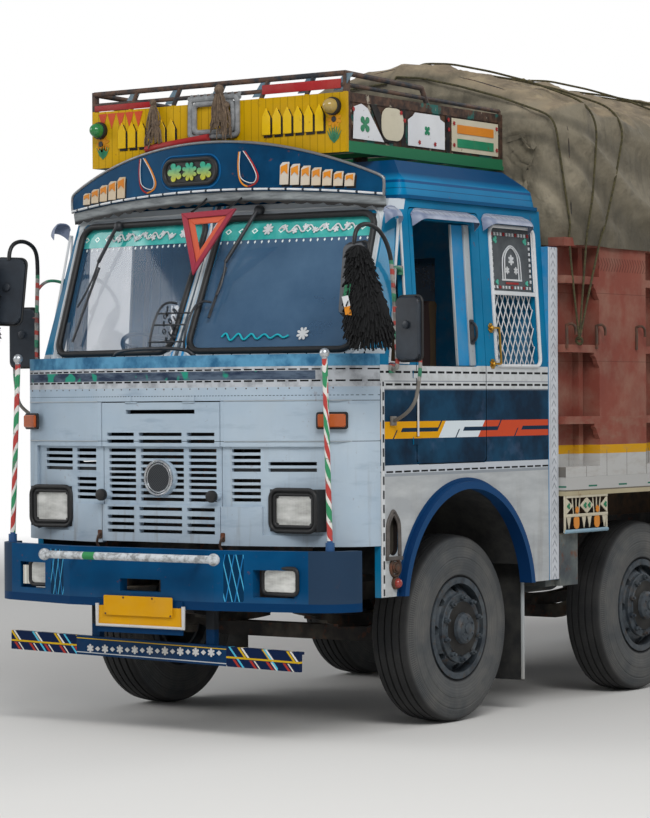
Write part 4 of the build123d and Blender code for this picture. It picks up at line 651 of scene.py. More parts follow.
def block(low, high, bevel=0.003, segments=2):
    """A board or box with softened edges, from its low to its high corner."""
    unselect()
    middle = [(a + b) / 2 for a, b in zip(low, high)]
    bpy.ops.mesh.primitive_cube_add(size=1.0, location=middle)
    piece = bpy.context.object
    piece.scale = [abs(b - a) for a, b in zip(low, high)]
    bpy.ops.object.transform_apply()
    if bevel:
        start_edit()
        bpy.ops.mesh.bevel(offset=bevel, segments=segments, affect="EDGES")
        end_edit()
    return piece


def rod(start, end, radius, sides=16, bevel=None):
    """A round bar between two points, its end edges softened."""
    unselect()
    start, end = Vector(start), Vector(end)
    along = end - start
    bpy.ops.mesh.primitive_cone_add(vertices=sides, radius1=radius, radius2=radius, depth=along.length,
        location=(start + end) / 2, rotation=along.to_track_quat("Z", "Y").to_euler())
    piece = bpy.context.object
    bpy.ops.object.transform_apply()
    if bevel:
        bpy.ops.object.mode_set(mode="EDIT")
        bpy.ops.mesh.select_all(action="DESELECT")
        bpy.ops.object.mode_set(mode="OBJECT")
        for face in piece.data.polygons:
            if len(face.vertices) > 4:
                face.select = True
        bpy.ops.object.mode_set(mode="EDIT")
        bpy.ops.mesh.bevel(offset=bevel, segments=2, affect="EDGES")
        bpy.ops.object.mode_set(mode="OBJECT")
    return piece


def ball(place, radius, squash=1.0, segments=20):
    unselect()
    bpy.ops.mesh.primitive_uv_sphere_add(segments=segments, ring_count=segments // 2, radius=radius,
        location=place)
    piece = bpy.context.object
    piece.scale = (1, squash, 1)
    bpy.ops.object.transform_apply()
    return piece


def hoop(place, direction, radius, thickness, segments=32, sides=10):
    """A ring round a direction."""
    unselect()
    turned = Vector(direction).to_track_quat("Z", "Y").to_euler()
    bpy.ops.mesh.primitive_torus_add(major_radius=radius, minor_radius=thickness, major_segments=segments,
        minor_segments=sides, location=place, rotation=turned)
    piece = bpy.context.object
    bpy.ops.object.transform_apply()
    return piece


def board(outline, origin, right, up, thickness, bevel=0.0015):
    """A flat shape cut from a sheet: its outline runs anticlockwise, and it grows along right x up."""
    unselect()
    origin, right, up = Vector(origin), Vector(right).normalized(), Vector(up).normalized()
    bpy.ops.mesh.primitive_circle_add(vertices=len(outline), fill_type="NGON")
    piece = bpy.context.object
    for corner, (a, b) in zip(piece.data.vertices, outline):
        corner.co = origin + right * a + up * b
    start_edit()
    bpy.ops.mesh.extrude_region_move(TRANSFORM_OT_translate={"value": right.cross(up) * thickness})
    bpy.ops.mesh.select_all(action="SELECT")
    bpy.ops.mesh.normals_make_consistent(inside=False)
    if bevel:
        bpy.ops.mesh.bevel(offset=bevel, segments=1, affect="EDGES")
    end_edit()
    return piece


def tubes(lines, radius, sides=3, closed=False, smooth=True, steps=5):
    """Bars or wires bent along lists of points."""
    unselect()
    curve = bpy.data.curves.new("tubes", "CURVE")
    curve.dimensions = "3D"
    curve.bevel_depth = radius
    curve.bevel_resolution = sides
    curve.use_fill_caps = not closed
    for points in lines:
        run = curve.splines.new("NURBS" if smooth else "POLY")
        run.points.add(len(points) - 1)
        for point, place in zip(run.points, points):
            point.co = (*place, 1)
        run.use_cyclic_u = closed
        if smooth:
            run.order_u = 3
            run.use_endpoint_u = not closed
            run.resolution_u = steps
    piece = bpy.data.objects.new("tubes", curve)
    bpy.context.scene.collection.objects.link(piece)
    pick_only(piece)
    bpy.ops.object.convert(target="MESH")
    return bpy.context.object


def bent(points, radius, sides=3, closed=False, smooth=True):
    return tubes([points], radius, sides, closed, smooth)


def loop(points, radius, sides=3):
    """A closed tube with a corner at each point."""
    return tubes([points], radius, sides, closed=True, smooth=False)


def copies(piece, places):
    """Copies of a piece, each with its own mesh, moved or turned by a matrix, made one."""
    made = []
    for place in places:
        twin = piece.copy()
        twin.data = piece.data.copy()
        twin.data.transform(place if isinstance(place, Matrix) else Matrix.Translation(place))
        if isinstance(place, Matrix) and place.determinant() < 0:
            twin.data.flip_normals()
        bpy.context.scene.collection.objects.link(twin)
        made.append(twin)
    bpy.data.objects.remove(piece)
    return join(made)


def join(parts):
    """A list's pieces made one; a single piece stays as it is."""
    if not isinstance(parts, list):
        return parts
    pick_only(parts[0])
    for part in parts:
        part.select_set(True)
    if len(parts) > 1:
        bpy.ops.object.join()
    return bpy.context.object


def settle(piece, name, finish, body="truck", slot="cab_paint", smooth=35):
    """Name a finished piece, give it its finish and let it ride with its body."""
    piece = join(piece)
    piece.name = name
    pick_only(piece)
    bpy.ops.object.transform_apply()
    if smooth:
        bpy.ops.object.shade_smooth_by_angle(angle=radians(smooth))
    give(piece, finish)
    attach(piece, body)
    return piece


def both_sides(piece):
    """The piece and its mirror image on the truck's other side, as one."""
    return copies(join(piece), [Matrix.Identity(4), Matrix.Scale(-1, 4, (1, 0, 0))])


settle_crown = partial(settle, slot="crown_paint")
settle_carrier = partial(settle, slot="carrier_paint")


def settle_pair(piece, name, finish, **form):
    return settle(both_sides(piece), name, finish, **form)


# Small finishes
chrome = metal_finish("worn_chrome", "c4c8cb", 0.22, 0.35)
brass = metal_finish("brass_fitting", "b98f3e", 0.3, 0.2)
rusty_iron = metal_finish("rusty_iron", "54443a", 0.6, 0.9, metallic=0.6)
black_rubber = matt_finish("black_rubber", "0f0f10", "1c1c1d", 0.55, 60.0)
black_wire = matt_finish("black_wire", "1b1d20", "33353a", 0.45, 30.0)
white_paint = plain_paint("white_paint", "d9dadb", "c3c7ca", dirt=0.25)
red_paint = plain_paint("red_paint", "a32a2c", "8a2126", dirt=0.15)
orange_paint = plain_paint("orange_paint", "d98b2b", "c4742a", dirt=0.1, chips=0.2)
yellow_plate = plain_paint("yellow_plate", "cf9209", "dea412", dirt=0.10, chips=0.15, low_dust=0.3)
black_paint = plain_paint("black_paint", "121214", "1c1c20", dirt=0.1)
green_paint = plain_paint("green_paint", "1f6a4b", "2f8a63", dirt=0.15)
cream_paint = plain_paint("cream_paint", "cdc6b2", "b9b098", dirt=0.3)
grey_channel = plain_paint("grey_channel", "a9b0b4", "8e979d", dirt=0.2)
amber_glass = glass_finish("amber_glass", "b3521a", 0.15, 0.95)
mirror_glass = metal_finish("mirror_glass", "aab4bd", 0.05, 0.02)
green_glass = glass_finish("green_glass", "1f7a3e", 0.12, 0.96)
tan_glass = glass_finish("tan_glass", "a98f4e", 0.15, 0.96)
red_glass = glass_finish("red_glass", "8f1a16", 0.15, 0.96)


# Sheet over the load
BODY_FRONT = aft(0.950)
BODY_LENGTH = 7.320
BODY_REAR = BODY_FRONT + BODY_LENGTH
SHEET_FRONT = aft(0.925)
SHEET_REAR = BODY_REAR + 0.040
sheet_line = [(1.2645, 2.700), (1.2645, 2.760), (1.2575, 2.970), (1.2445, 3.370), (1.2330, 3.430),
    (1.2045, 3.480), (1.1600, 3.517), (1.1045, 3.545), (0.84, 3.655), (0.56, 3.745), (0.28, 3.818),
    (0.0, 3.850)]
sheet_line += [(-x, z) for x, z in reversed(sheet_line[:-1])]
sheet_run = [0.0]
for (x0, z0), (x1, z1) in zip(sheet_line[:-1], sheet_line[1:]):
    sheet_run.append(sheet_run[-1] + sqrt((x1 - x0) ** 2 + (z1 - z0) ** 2))


def over_load(share):
    """X, Z and outward direction on the line over the load, from the left hem to the right hem."""
    reach = share * sheet_run[-1]
    for i in range(len(sheet_line) - 1):
        if reach <= sheet_run[i + 1] or i == len(sheet_line) - 2:
            part = (reach - sheet_run[i]) / (sheet_run[i + 1] - sheet_run[i])
            (x0, z0), (x1, z1) = sheet_line[i], sheet_line[i + 1]
            along = Vector((x1 - x0, 0, z1 - z0)).normalized()
            return x0 + (x1 - x0) * part, z0 + (z1 - z0) * part, Vector((along.z, 0, -along.x))


HOOP_YS = [BODY_FRONT + 0.120 + (BODY_LENGTH - 0.240) * n / 6 for n in range(7)]


def smooth_step(value):
    value = max(0.0, min(1.0, value))
    return value * value * (3 - 2 * value)


CORNER = 0.24          # how softly the sheet rounds the load's front and rear edges
PINCH_Z = 3.55         # where the sheet is gathered at its front corners
FLAP = 1.05            # how much of the sheet is turned down or in at each end
END_REACH = 0.62       # how far the turned-in part reaches across each end, at its sides
END_HEM_Z = 2.708      # hem of the part turned down at each end
LEAST_Z = 2.704        # top of the side walls, which the cloth stays above


def end_turn(u, length):
    """Inward reach, Y and turn of the sheet where it rounds the ends, from the distance along it."""
    near = min(u, length - u)
    if near >= CORNER:
        return 0.0, u, 0.0
    turn = min((CORNER - near) / CORNER, pi / 2)
    inward = CORNER * (1 - cos(turn)) + max(0.0, CORNER - near - CORNER * pi / 2)
    y = CORNER * (1 - sin(turn))
    return inward, (y if u < length / 2 else length - y), turn


def fold_height(u, share, z, length):
    """How far the cloth stands out from its even shape: gathers, creases and sag between the hoops."""
    side = 1.0 if share < 0.5 else -1.0
    down = min(share, 1 - share) * sheet_run[-1]
    near = min(u, length - u)
    back = near + 0.42
    fall = PINCH_Z - z
    reach = sqrt(back * back + fall * fall)
    angle = atan2(back, max(fall, -0.3) + 0.05) + 0.10 * bumps(back * 1.5, fall * 1.5, side * 3)
    ridges = 1 - abs(sin(angle * 11.0))
    gather = (ridges * 0.072 - 0.020) * smooth_step((reach - 0.32) / 0.55) * smooth_step((2.7 - reach) / 1.7)
    gather *= smooth_step((z - 2.60) / 0.25) * smooth_step((3.72 - z) / 0.25)
    slant = Vector((u * 1.4 + down * 1.3, down * 1.2 - u * 0.5, 7.0 + side))
    crease = (0.020 - abs(noise.noise(slant * 1.5)) * 0.120) + (0.014 - abs(noise.noise(slant * 3.4)) * 0.070)
    wave = bumps(u * 0.9 + side * 3, down * 1.3, side * 4.0) * 0.040
    crinkle = bumps(u * 8.0, down * 8.0, 2.0) * 0.006
    between_hoops = min(abs(SHEET_FRONT + u - h) for h in HOOP_YS)
    sag = -0.034 * smooth_step((between_hoops - 0.06) / 0.30) * smooth_step((down - 0.9) / 0.5)
    low = smooth_step((z - 2.66) / 0.30)
    top = smooth_step((z - 3.40) / 0.2) * smooth_step((between_hoops - 0.05) / 0.2)
    lift = 0.012 + gather + (crease + wave) * (0.45 + 0.55 * top) * (0.3 + 0.7 * low) + crinkle + sag
    floor_height = -0.034 * top * smooth_step((between_hoops - 0.05) / 0.2)
    return max(lift, floor_height + 0.003) * (0.25 + 0.75 * low)


def make_sheet():
    unselect()
    long_cuts, round_cuts = 330, 150
    bpy.ops.mesh.primitive_grid_add(x_subdivisions=long_cuts, y_subdivisions=round_cuts, size=2.0)
    cloth_piece = bpy.context.object
    length = SHEET_REAR - SHEET_FRONT
    whole = length + 2 * FLAP
    for corner in cloth_piece.data.vertices:
        u = (corner.co.x + 1) / 2 * whole - FLAP
        share = (corner.co.y + 1) / 2
        x, z, out = over_load(share)
        inward, y, turn = end_turn(u, length)
        top_share = smooth_step((z - 3.46) / 0.14)
        limit = END_REACH + (z - END_HEM_Z - END_REACH) * top_share
        beyond = (limit - CORNER) / (FLAP + CORNER * (1 - pi / 2))
        inward = min(inward, CORNER) + max(0.0, inward - CORNER) * beyond
        tuck = out.lerp(Vector((0, 0, 1)), top_share).normalized()
        lift = fold_height(u, share, z, length)
        away = -1.0 if u < length / 2 else 1.0
        facing = out * cos(turn) + Vector((0, away * sin(turn), 0))
        hem_lift = 0.020 * bumps(u * 1.6, 0, share * 2) if z < 2.75 else 0.0
        place = Vector((x, SHEET_FRONT + y, z + hem_lift)) - tuck * inward + facing * (lift + 0.002)
        place.z = max(place.z, LEAST_Z)
        corner.co = place
    return apply_modifier(cloth_piece, "SOLIDIFY", thickness=SHEET, offset=-1.0)


tarp = settle(make_sheet(), "load_sheet", cloth_finish(), slot="cloth", smooth=60)
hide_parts("tarpaulin")

# Ropes tied down over the sheet to the hooks of the body
rope_finish = matt_finish("rope_fibre", "2f2c1d", "57502f", 0.9, 60.0)
sheet_shape = BVHTree.FromPolygons([corner.co.copy() for corner in tarp.data.vertices],
    [tuple(face.vertices) for face in tarp.data.polygons])


def rope_over(y_top, y_knot, z_knot, side):
    """A rope pulled taut over the cloth, from the ridge to its hook."""
    line, least, last = [], [], 33
    for step in range(last + 1):
        x, z, out = over_load(0.5 - (0.5 - 0.012) * step / last)
        y = y_top + (y_knot - y_top) * max(0.0, (3.40 - z) / (3.40 - z_knot))
        outward = Vector((out.x * side, 0, out.z))
        start = Vector((x * side, y, z))
        hit = sheet_shape.ray_cast(start + outward * 0.6, -outward)[0] or start
        line.append((start, outward))
        least.append((hit - start).dot(outward) + 0.007)
    height = list(least)
    for _ in range(120):
        for step in range(1, last):
            height[step] = max(least[step], (height[step - 1] + height[step + 1]) / 2)
    points = [start + outward * lift for (start, outward), lift in zip(line, height)]
    return points + [Vector((1.268 * side, y_knot, z_knot))]


rope_lines = []
for group in range(5):
    knot = aft(1.085 + group * 1.46)
    for shift in (-0.20, 0.10, 0.42):
        for side in (1, -1):
            rope_lines.append(bent(rope_over(knot + shift + 0.06, knot, 2.15, side), 0.0065, 2))
    for side in (1, -1):
        rope_lines.append(hoop((side * 1.268, knot, 2.145), (0, 1, 0.2), 0.020, 0.009, 14, 6))
settle(rope_lines, "tie_ropes", rope_finish, slot="cloth")

# J-shaped hooks and pegs along the body
hook = bent([(1.250, 0, 2.235), (1.275, 0, 2.245), (1.290, 0.020, 2.240), (1.290, 0.045, 2.215),
    (1.285, 0.050, 2.180)], 0.008, 2)
stem = bent([(1.252, 0.0, 2.240), (1.258, -0.002, 2.170), (1.256, -0.004, 2.100)], 0.009, 2)
hook = both_sides(join([hook, stem]))
hook_ys = [aft(0.965)] + [aft(1.313 + 0.486 * n) for n in range(14)]
settle(copies(hook, [(0, y, 0) for y in hook_ys if y < BODY_REAR - 0.1]), "rope_hooks", rusty_iron,
    slot="chassis_steel")


# Outlines
def rounded(width, height, radius, middle=(0.0, 0.0), steps=5):
    """Corners of a rounded rectangle, anticlockwise."""
    points = []
    for n, (sx, sy) in enumerate(((1, 1), (-1, 1), (-1, -1), (1, -1))):
        for k in range(steps + 1):
            angle = pi / 2 * (n + k / steps)
            points.append((middle[0] + sx * (width / 2 - radius) + radius * cos(angle),
                middle[1] + sy * (height / 2 - radius) + radius * sin(angle)))
    return points


def flower(radius, petals, inner=0.45, middle=(0.0, 0.0)):
    """A flower's outline, with its petals' tips at the radius."""
    points, steps = [], 6
    for k in range(petals * steps):
        angle = 2 * pi * k / (petals * steps)
        reach = radius * (inner + (1 - inner) * abs(sin(angle * petals / 2)) ** 0.6)
        points.append((middle[0] + reach * cos(angle), middle[1] + reach * sin(angle)))
    return points


def round_line(radius, middle, steps):
    return [(middle[0] + radius * cos(2 * pi * k / steps), middle[1] + radius * sin(2 * pi * k / steps))
        for k in range(steps)]


X, Y, Z = Vector((1, 0, 0)), Vector((0, 1, 0)), Vector((0, 0, 1))


def front_board(outline, y, thickness=0.004, bevel=0.001):
    """A board on the front: its outline in X and Z, its back at y."""
    return board(outline, (0, y, 0), X, Z, thickness, bevel)


def side_board(outline, x, thickness=0.004, bevel=0.001):
    """A board on the left side: its outline in Y and Z, its back at x."""
    return board(outline, (x, 0, 0), Y, Z, thickness, bevel)


# Crown over the windscreen
CROWN_PLAN = 4.141


def crown_y(x):
    return aft(-0.850) + CROWN_PLAN - sqrt(CROWN_PLAN ** 2 - x * x)


def crown_low(x):
    return 2.965 - 10.02 + sqrt(10.02 ** 2 - x * x)


def crown_high(x):
    return 3.245 - 2.6686 + sqrt(2.6686 ** 2 - x * x)


def on_crown(points, proud=0.0):
    return [(x, crown_y(x) - proud, z) for x, z in points]


def bend_to_crown(piece):
    """Lay a flat front piece, made at Y = 0, against the crown's curve."""
    for corner in piece.data.vertices:
        corner.co.y += crown_y(corner.co.x)
    return piece


steps = [-1.095 + 2.19 * n / 28 for n in range(29)]
edge = on_crown([(x, crown_high(x)) for x in steps], 0.0)
edge = on_crown([(-1.095, 2.905), (-1.100, 2.94), (-1.100, 2.98)]) + edge + on_crown([(1.100, 2.98),
    (1.100, 2.94), (1.095, 2.905)])
settle_crown(bent(edge, 0.008, 4), "crown_piping", metal_finish("crown_piping_metal", "85888a", 0.35, 0.5,
    0.7))


def beaded(name, colour, gap, length, upright=False):
    """White bead with short dark gaps."""
    f = Finish(name)
    dark = (f.z if upright else f.x).repeat(length) < gap
    dirty = f.spots(12.0, 0.4, 0.7, 5.0) * 0.45
    colour = f.mix(dirty, colour, "8d8f8e")
    return f.done(f.mix(dark, colour, "26292c"), 0.45, bump=dark * -1.0, depth=0.002)


white_bead = beaded("white_bead", "dcdee0", 0.014, 0.105)
settle_crown(bent(on_crown([(x, crown_low(x) + 0.010) for x in steps], 0.004), 0.0065, 3), "crown_bead",
    white_bead)


def ragged_strip():
    unselect()
    bpy.ops.mesh.primitive_grid_add(x_subdivisions=110, y_subdivisions=4, size=2.0)
    strip = bpy.context.object
    for corner in strip.data.vertices:
        x = corner.co.x * 1.100
        down = (1 - corner.co.y) / 2
        tooth = abs(sin(x * 34.0)) ** 0.7 * 0.016 + 0.010 * bumps(x * 22.0, 0, 0)
        drop = (0.052 + tooth * (1 if down > 0.9 else 0.7)) * down
        corner.co = Vector((x, crown_y(x) + 0.012 + 0.012 * down, crown_low(x) - 0.002 - drop))
    return face_outward(apply_modifier(strip, "SOLIDIFY", thickness=SHEET))


f = Finish("ragged_rubber")
worn = f.mix(f.place.stretched(1.0, 1.0, 6.0).clouds(9.0, 5.0).fade(0.35, 0.65), "6b7072", "9a9fa0")
ragged = f.done(f.mix((f.z + f.x * f.x * 0.05).fade(2.912, 2.926), "1d1c1b", worn), 0.4)
settle_crown(ragged_strip(), "crown_rubber_strip", ragged, smooth=50)

# Oval recess with a black frame and a leafy ornament in it
oval = rounded(0.375, 0.135, 0.062, (-0.111, 3.088), 6)
settle_crown(join([loop(on_crown(oval, 0.004), 0.013, 3), bend_to_crown(front_board(oval, 0.002, 0.006,
    0))]), "crown_oval_frame", black_rubber)
f = Finish("oval_green")
grass = f.mix(f.z.fade(3.050, 3.115), "b5b324", "1c9c7c")
leaf_green = f.done(f.mix(f.spots(40.0, 0.5, 0.7) * 0.4, grass, "0d4a3c"), 0.35)
leaf_parts = [bend_to_crown(front_board(flower(0.054, petals, 0.5, (x, 3.088)), -0.004, 0.004, 0)) for x,
    petals in ((-0.218, 5), (-0.111, 8), (-0.004, 5))]
settle_crown(leaf_parts, "crown_oval_flowers", leaf_green)
settle_crown(loop(on_crown(rounded(0.425, 0.185, 0.085, (-0.111, 3.086), 6), 0.000), 0.005, 3),
    "crown_oval_pressing", plain_paint("pressing_blue", "0b4f80", "0f5f94", dirt=0.02))

# Two open drops that lean outwards, orange on one side and red on the other, with a white line inside
for name, middle, swap in (("left", 0.288, False), ("right", -0.434, True)):
    near = [(-0.056, 0.105), (-0.063, 0.055), (-0.063, 0.0), (-0.055, -0.050), (-0.030, -0.083),
        (0.0, -0.090)]
    far = [(-0.020, 0.105), (0.020, 0.055), (0.053, 0.0), (0.071, -0.045), (0.045, -0.083), (0.0, -0.090)]
    outer, other = (red_paint, orange_paint) if swap else (orange_paint, red_paint)
    for side_name, lobe, paint in (("near", near, outer), ("far", far, other)):
        settle_crown(bent(on_crown([(middle + dx, 3.075 + dz) for dx, dz in lobe], 0.002), 0.0050, 2),
            f"crown_drop_{side_name}_{name}", paint)
    line = [(middle + dx + 0.009, 3.076 + dz) for dx, dz in near[:-2]]
    line += [(middle + dx - 0.008, 3.078 + dz) for dx, dz in reversed(far[:-1])]
    settle_crown(bent(on_crown(line, 0.006), 0.0025, 2), f"crown_drop_white_{name}", white_paint)

# Rows of carved blocks towards the crown's ends, orange over white, with black shadows
tiles, shadows, tops = [], [], []
for count, first, pitch, z_first, z_change, tall_first, tall_change in ((7, 0.522, 0.0646, 3.047, -0.050,
        0.123, -0.053), (5, -0.955, 0.077, 2.980, 0.047, 0.066, 0.054)):
    for k in range(count):
        part = k / (count - 1)
        x, z, half = first + pitch * k, z_first + z_change * part, (tall_first + tall_change * part) / 2
        wide, slant = pitch * 0.41, 0.004
        shape = [(x - wide - slant, z - half), (x + wide - slant, z - half), (x + wide, z + half * 0.3),
            (x + wide + slant, z + half), (x - wide * 0.4, z + half), (x - wide, z + half * 0.7)]
        tiles.append(bend_to_crown(front_board(shape, 0.002, 0.008, 0.0015)))
        shadows.append(bend_to_crown(front_board([(px + 0.010, pz - 0.012) for px, pz in shape], 0.002,
            0.003, 0)))
        tops.append(bend_to_crown(front_board([(x - wide * 0.75, z - half * 0.1), (x, z + half * 0.25),
            (x + wide * 0.8, z - half * 0.1), (x + wide * 0.8, z + half * 0.85),
            (x - wide * 0.75, z + half * 0.6)], -0.006, 0.003, 0)))
settle_crown(tiles, "crown_blocks", plain_paint("block_white", "c9c8c4", "c7a46a", dirt=0.1, chips=0.2))
settle_crown(shadows, "crown_block_shadows", black_paint)
settle_crown(tops, "crown_block_tops", orange_paint)

# Roof carrier's front board
FRONT_Y = aft(-0.760)
pennants, arches, arch_shadows, palms, petals = [], [], [], [], []
for k in range(5):
    x = -0.845 + k * 0.066
    pennants.append(front_board([(x, 3.462), (x + 0.030, 3.372), (x + 0.062, 3.462)], FRONT_Y, 0.003))
for start, count, z in ((-0.700, 6, 3.255), (0.330, 6, 3.270)):
    for k in range(count):
        x = start + k * 0.072
        shape = [(x, z), (x + 0.056, z), (x + 0.056, z + 0.100), (x + 0.028, z + 0.150), (x, z + 0.100)]
        arches.append(front_board(shape, FRONT_Y, 0.008, 0.002))
        arch_shadows.append(front_board([(px + 0.012, pz - 0.014) for px, pz in shape], FRONT_Y, 0.004, 0))
for x, side in ((-0.815, 1), (0.815, -1)):
    for k in range(7):
        angle = radians(35 + k * 18)
        tip = (x + 0.058 * cos(angle), 3.225 + 0.075 * sin(angle))
        wide = (0.006 * sin(angle), -0.006 * cos(angle))
        palms.append(front_board([(x, 3.200), (x + 0.03 * cos(angle) + wide[0],
            3.205 + 0.04 * sin(angle) + wide[1]), tip, (x + 0.03 * cos(angle) - wide[0],
            3.205 + 0.04 * sin(angle) - wide[1])], FRONT_Y, 0.003, 0))
    petals.append(front_board(flower(0.050, 9, 0.5, (x, 3.330 if x > 0 else 3.290)), FRONT_Y, 0.003))
settle_carrier(pennants, "carrier_pennants", plain_paint("pennant_red", "c9542c", "b8432a", dirt=0.1))
settle_carrier(arches, "carrier_arches", plain_paint("arch_yellow", "dcb414", "c9a00c", dirt=0.1, chips=0.3))
settle_carrier(arch_shadows, "carrier_arch_shadows", black_paint)
settle_carrier(palms, "carrier_palms", green_paint)
settle_carrier(petals, "carrier_petals", plain_paint("petal_gold", "c98a12", "a2620e", dirt=0.1))
bases, seeds = [], []
for x, z, glass in ((-0.829, 3.366, green_glass), (0.815, 3.400, tan_glass)):
    bases.append(rod((x, FRONT_Y + 0.002, z), (x, FRONT_Y - 0.030, z), 0.050, 24, 0.006))
    dome = ball((x, FRONT_Y - 0.030, z), 0.042, 1.35)
    settle(dome, f"carrier_lamp_{'right' if x < 0 else 'left'}", glass, slot="lamp_glass")
    seeds.append(front_board(round_line(0.016, (x, 3.330 if x > 0 else 3.290), 14), FRONT_Y - 0.003, 0.004))
settle(bases + seeds, "carrier_lamp_bases", black_rubber, slot="soft_rubber")

# Old frame in the middle with straw tassels, and the red bars
frame_parts = [bent([(x + 0.006 * bumps(x * 40, z * 40, 0), FRONT_Y - 0.012, z) for x,
    z in rounded(width, height, 0.03, (0.0, 3.390), 5)], 0.016, 3, closed=True) for width,
    height in ((0.335, 0.215), (0.275, 0.160))]
for k in range(8):
    x = -0.168 + 0.048 * k
    frame_parts.append(front_board(flower(0.024, 3, 0.5, (x, 3.505)), FRONT_Y, 0.006))
settle_carrier(frame_parts, "carrier_picture_frame", matt_finish("weathered_grey", "6b6d6f", "8f9192", 0.7,
    30.0))


def tassel(top, length, spread, strands, seed):
    """Hanging strands from a knot, each slightly bent."""
    made = []
    for k in range(strands):
        angle = 2 * pi * k / strands * 2.4
        jig = bumps(k * 1.7, seed, 0.3)
        jog = bumps(k * 2.9, 4.2, seed)
        out = spread * (0.35 + 0.65 * abs(jig))
        reach = length * (0.75 + 0.35 * jog)
        away = Vector((cos(angle) * out, -abs(sin(angle)) * out * 0.45, 0))
        top_point = Vector(top) + away * 0.15
        made.append(bent([top_point, top_point + away * 0.9 + Vector((0, 0, -reach * 0.35)),
            top_point + away * (1 + jig) + Vector((0, 0, -reach * 0.7)),
            top_point + away * (1.1 + jog) + Vector((0, 0, -reach))], 0.004, 1))
    made.append(ball(top, spread * 0.34, 1.0, 12))
    return join(made)


straw = matt_finish("straw", "4f4238", "7a6753", 0.9, 50.0)
straw_parts = [tassel((0.060, FRONT_Y - 0.040, 3.540), 0.26, 0.085, 34, 1.0),
    tassel((0.100, FRONT_Y - 0.035, 3.450), 0.22, 0.070, 26, 2.0), tassel((-0.420, FRONT_Y - 0.030, 3.500),
    0.24, 0.060, 26, 3.0), tassel((-0.400, FRONT_Y - 0.035, 3.380), 0.15, 0.075, 20, 4.0)]
settle_carrier(straw_parts, "carrier_straw_tassels", straw, smooth=60)
red_bars = [rod((-0.47, FRONT_Y - 0.030, 3.236), (-0.02, FRONT_Y - 0.030, 3.276), 0.024, 12, 0.004),
    block((0.330, FRONT_Y - 0.004, 3.496), (0.860, FRONT_Y + 0.006, 3.548), 0.003),
    block((-0.875, FRONT_Y - 0.004, 3.478), (-0.440, FRONT_Y + 0.006, 3.512), 0.003)]
settle_carrier(red_bars, "carrier_red_bars", red_paint)
struts = []
for x in (-0.620, -0.310, 0.0, 0.310, 0.620, 0.860):
    struts.append(board([(x - 0.055, 3.486), (x + 0.010, 3.486), (x + 0.080, 3.575), (x + 0.015, 3.575)],
        (0, FRONT_Y + 0.010, 0), X, Z, 0.005))
settle_carrier(struts, "carrier_struts", plain_paint("strut_blue", "4c6b80", "6b7f8a", dirt=0.25, chips=0.8))

# Carrier side panels, the same on both sides
SIDE_X = 0.896
panel_white = plain_paint("panel_white", "c9cbcf", "d8d9da", dirt=0.12, chips=0.5, low_dust=0.4)


def side_strip(first, last, low, high, *form):
    """An upright rectangle on the left side, from its distances behind the first axle and its heights."""
    return side_board([(aft(first), low), (aft(last), low), (aft(last), high), (aft(first), high)], *form)


whites = [side_board([(aft(-0.700), 3.225), (aft(-0.400), 3.225), (aft(-0.470), 3.300),
    (aft(-0.560), 3.400), (aft(-0.620), 3.420), (aft(-0.690), 3.400)], SIDE_X),
    side_board([(aft(-0.160), 3.225), (aft(0.215), 3.225), (aft(0.215), 3.380), (aft(0.170), 3.395),
    (aft(0.160), 3.415), (aft(-0.090), 3.415), (aft(-0.110), 3.395), (aft(-0.160), 3.370)], SIDE_X)]
settle_carrier(both_sides(whites), "carrier_side_panels", panel_white)
creams = [side_strip(0.290, 0.790, 3.225, 3.415, SIDE_X), side_board(rounded(0.22, 0.18, 0.07,
    (aft(-0.315), 3.330)), SIDE_X)]
settle_carrier(both_sides(creams), "carrier_side_cream", cream_paint)
settle_carrier(both_sides(side_strip(0.345, 0.735, 3.330, 3.380, SIDE_X + 0.004)), "carrier_plate_orange",
    orange_paint)
greens = [side_strip(0.345, 0.735, 3.250, 3.300, SIDE_X + 0.004), side_board(flower(0.052, 4, 0.25,
    (aft(-0.590), 3.310)), SIDE_X + 0.004), side_board(flower(0.030, 4, 0.3, (aft(0.030), 3.320)),
    SIDE_X + 0.004)]
settle_carrier(both_sides(greens), "carrier_green_ornaments", green_paint)
dots = []
for y, z in ((-0.700, 3.385), (-0.235, 3.400), (-0.200, 3.360), (0.250, 3.400), (0.255, 3.345),
        (0.310, 3.385), (0.310, 3.260), (0.770, 3.385), (0.770, 3.260), (-0.050, 3.250), (0.110, 3.250)):
    dots.append(side_board(flower(0.013, 5, 0.5, (aft(y), z)), SIDE_X + 0.005))
settle_carrier(both_sides(dots), "carrier_red_flowers", red_paint)
darks = [side_board([(aft(-0.530), 3.425), (aft(-0.470), 3.425), (aft(-0.300), 3.225),
    (aft(-0.390), 3.225)], SIDE_X - 0.002), side_strip(-0.225, -0.185, 3.215, 3.425, SIDE_X - 0.002),
    side_strip(0.232, 0.272, 3.215, 3.425, SIDE_X - 0.002)]
settle_carrier(both_sides(darks), "carrier_side_slots", black_paint)


# Windscreen: the surface of its leaning frame
def screen_y(x, z):
    part = (z - 2.050) / 0.845
    middle = -1.130 + 0.405 * part
    corner = -0.915 + 0.275 * part
    return aft(middle + (corner - middle) * abs(x) / 1.090)


def on_screen(points, proud=0.0):
    return [(x, screen_y(x, z) - proud, z) for x, z in points]


def lay_on_screen(piece):
    for corner in piece.data.vertices:
        corner.co.y += screen_y(corner.co.x, corner.co.z)
    return piece


def pane_line(side, grow):
    """A window's outline, narrower at the top."""
    points = []
    for x, z in rounded(0.973 + 2 * grow, 0.735 + 2 * grow, 0.075 + grow, (0.0, 2.4475), 6):
        part = (z - 2.080) / 0.735
        outer = 1.035 - 0.020 * part
        points.append((side * ((outer + 0.062) / 2 + x), z))
    return points


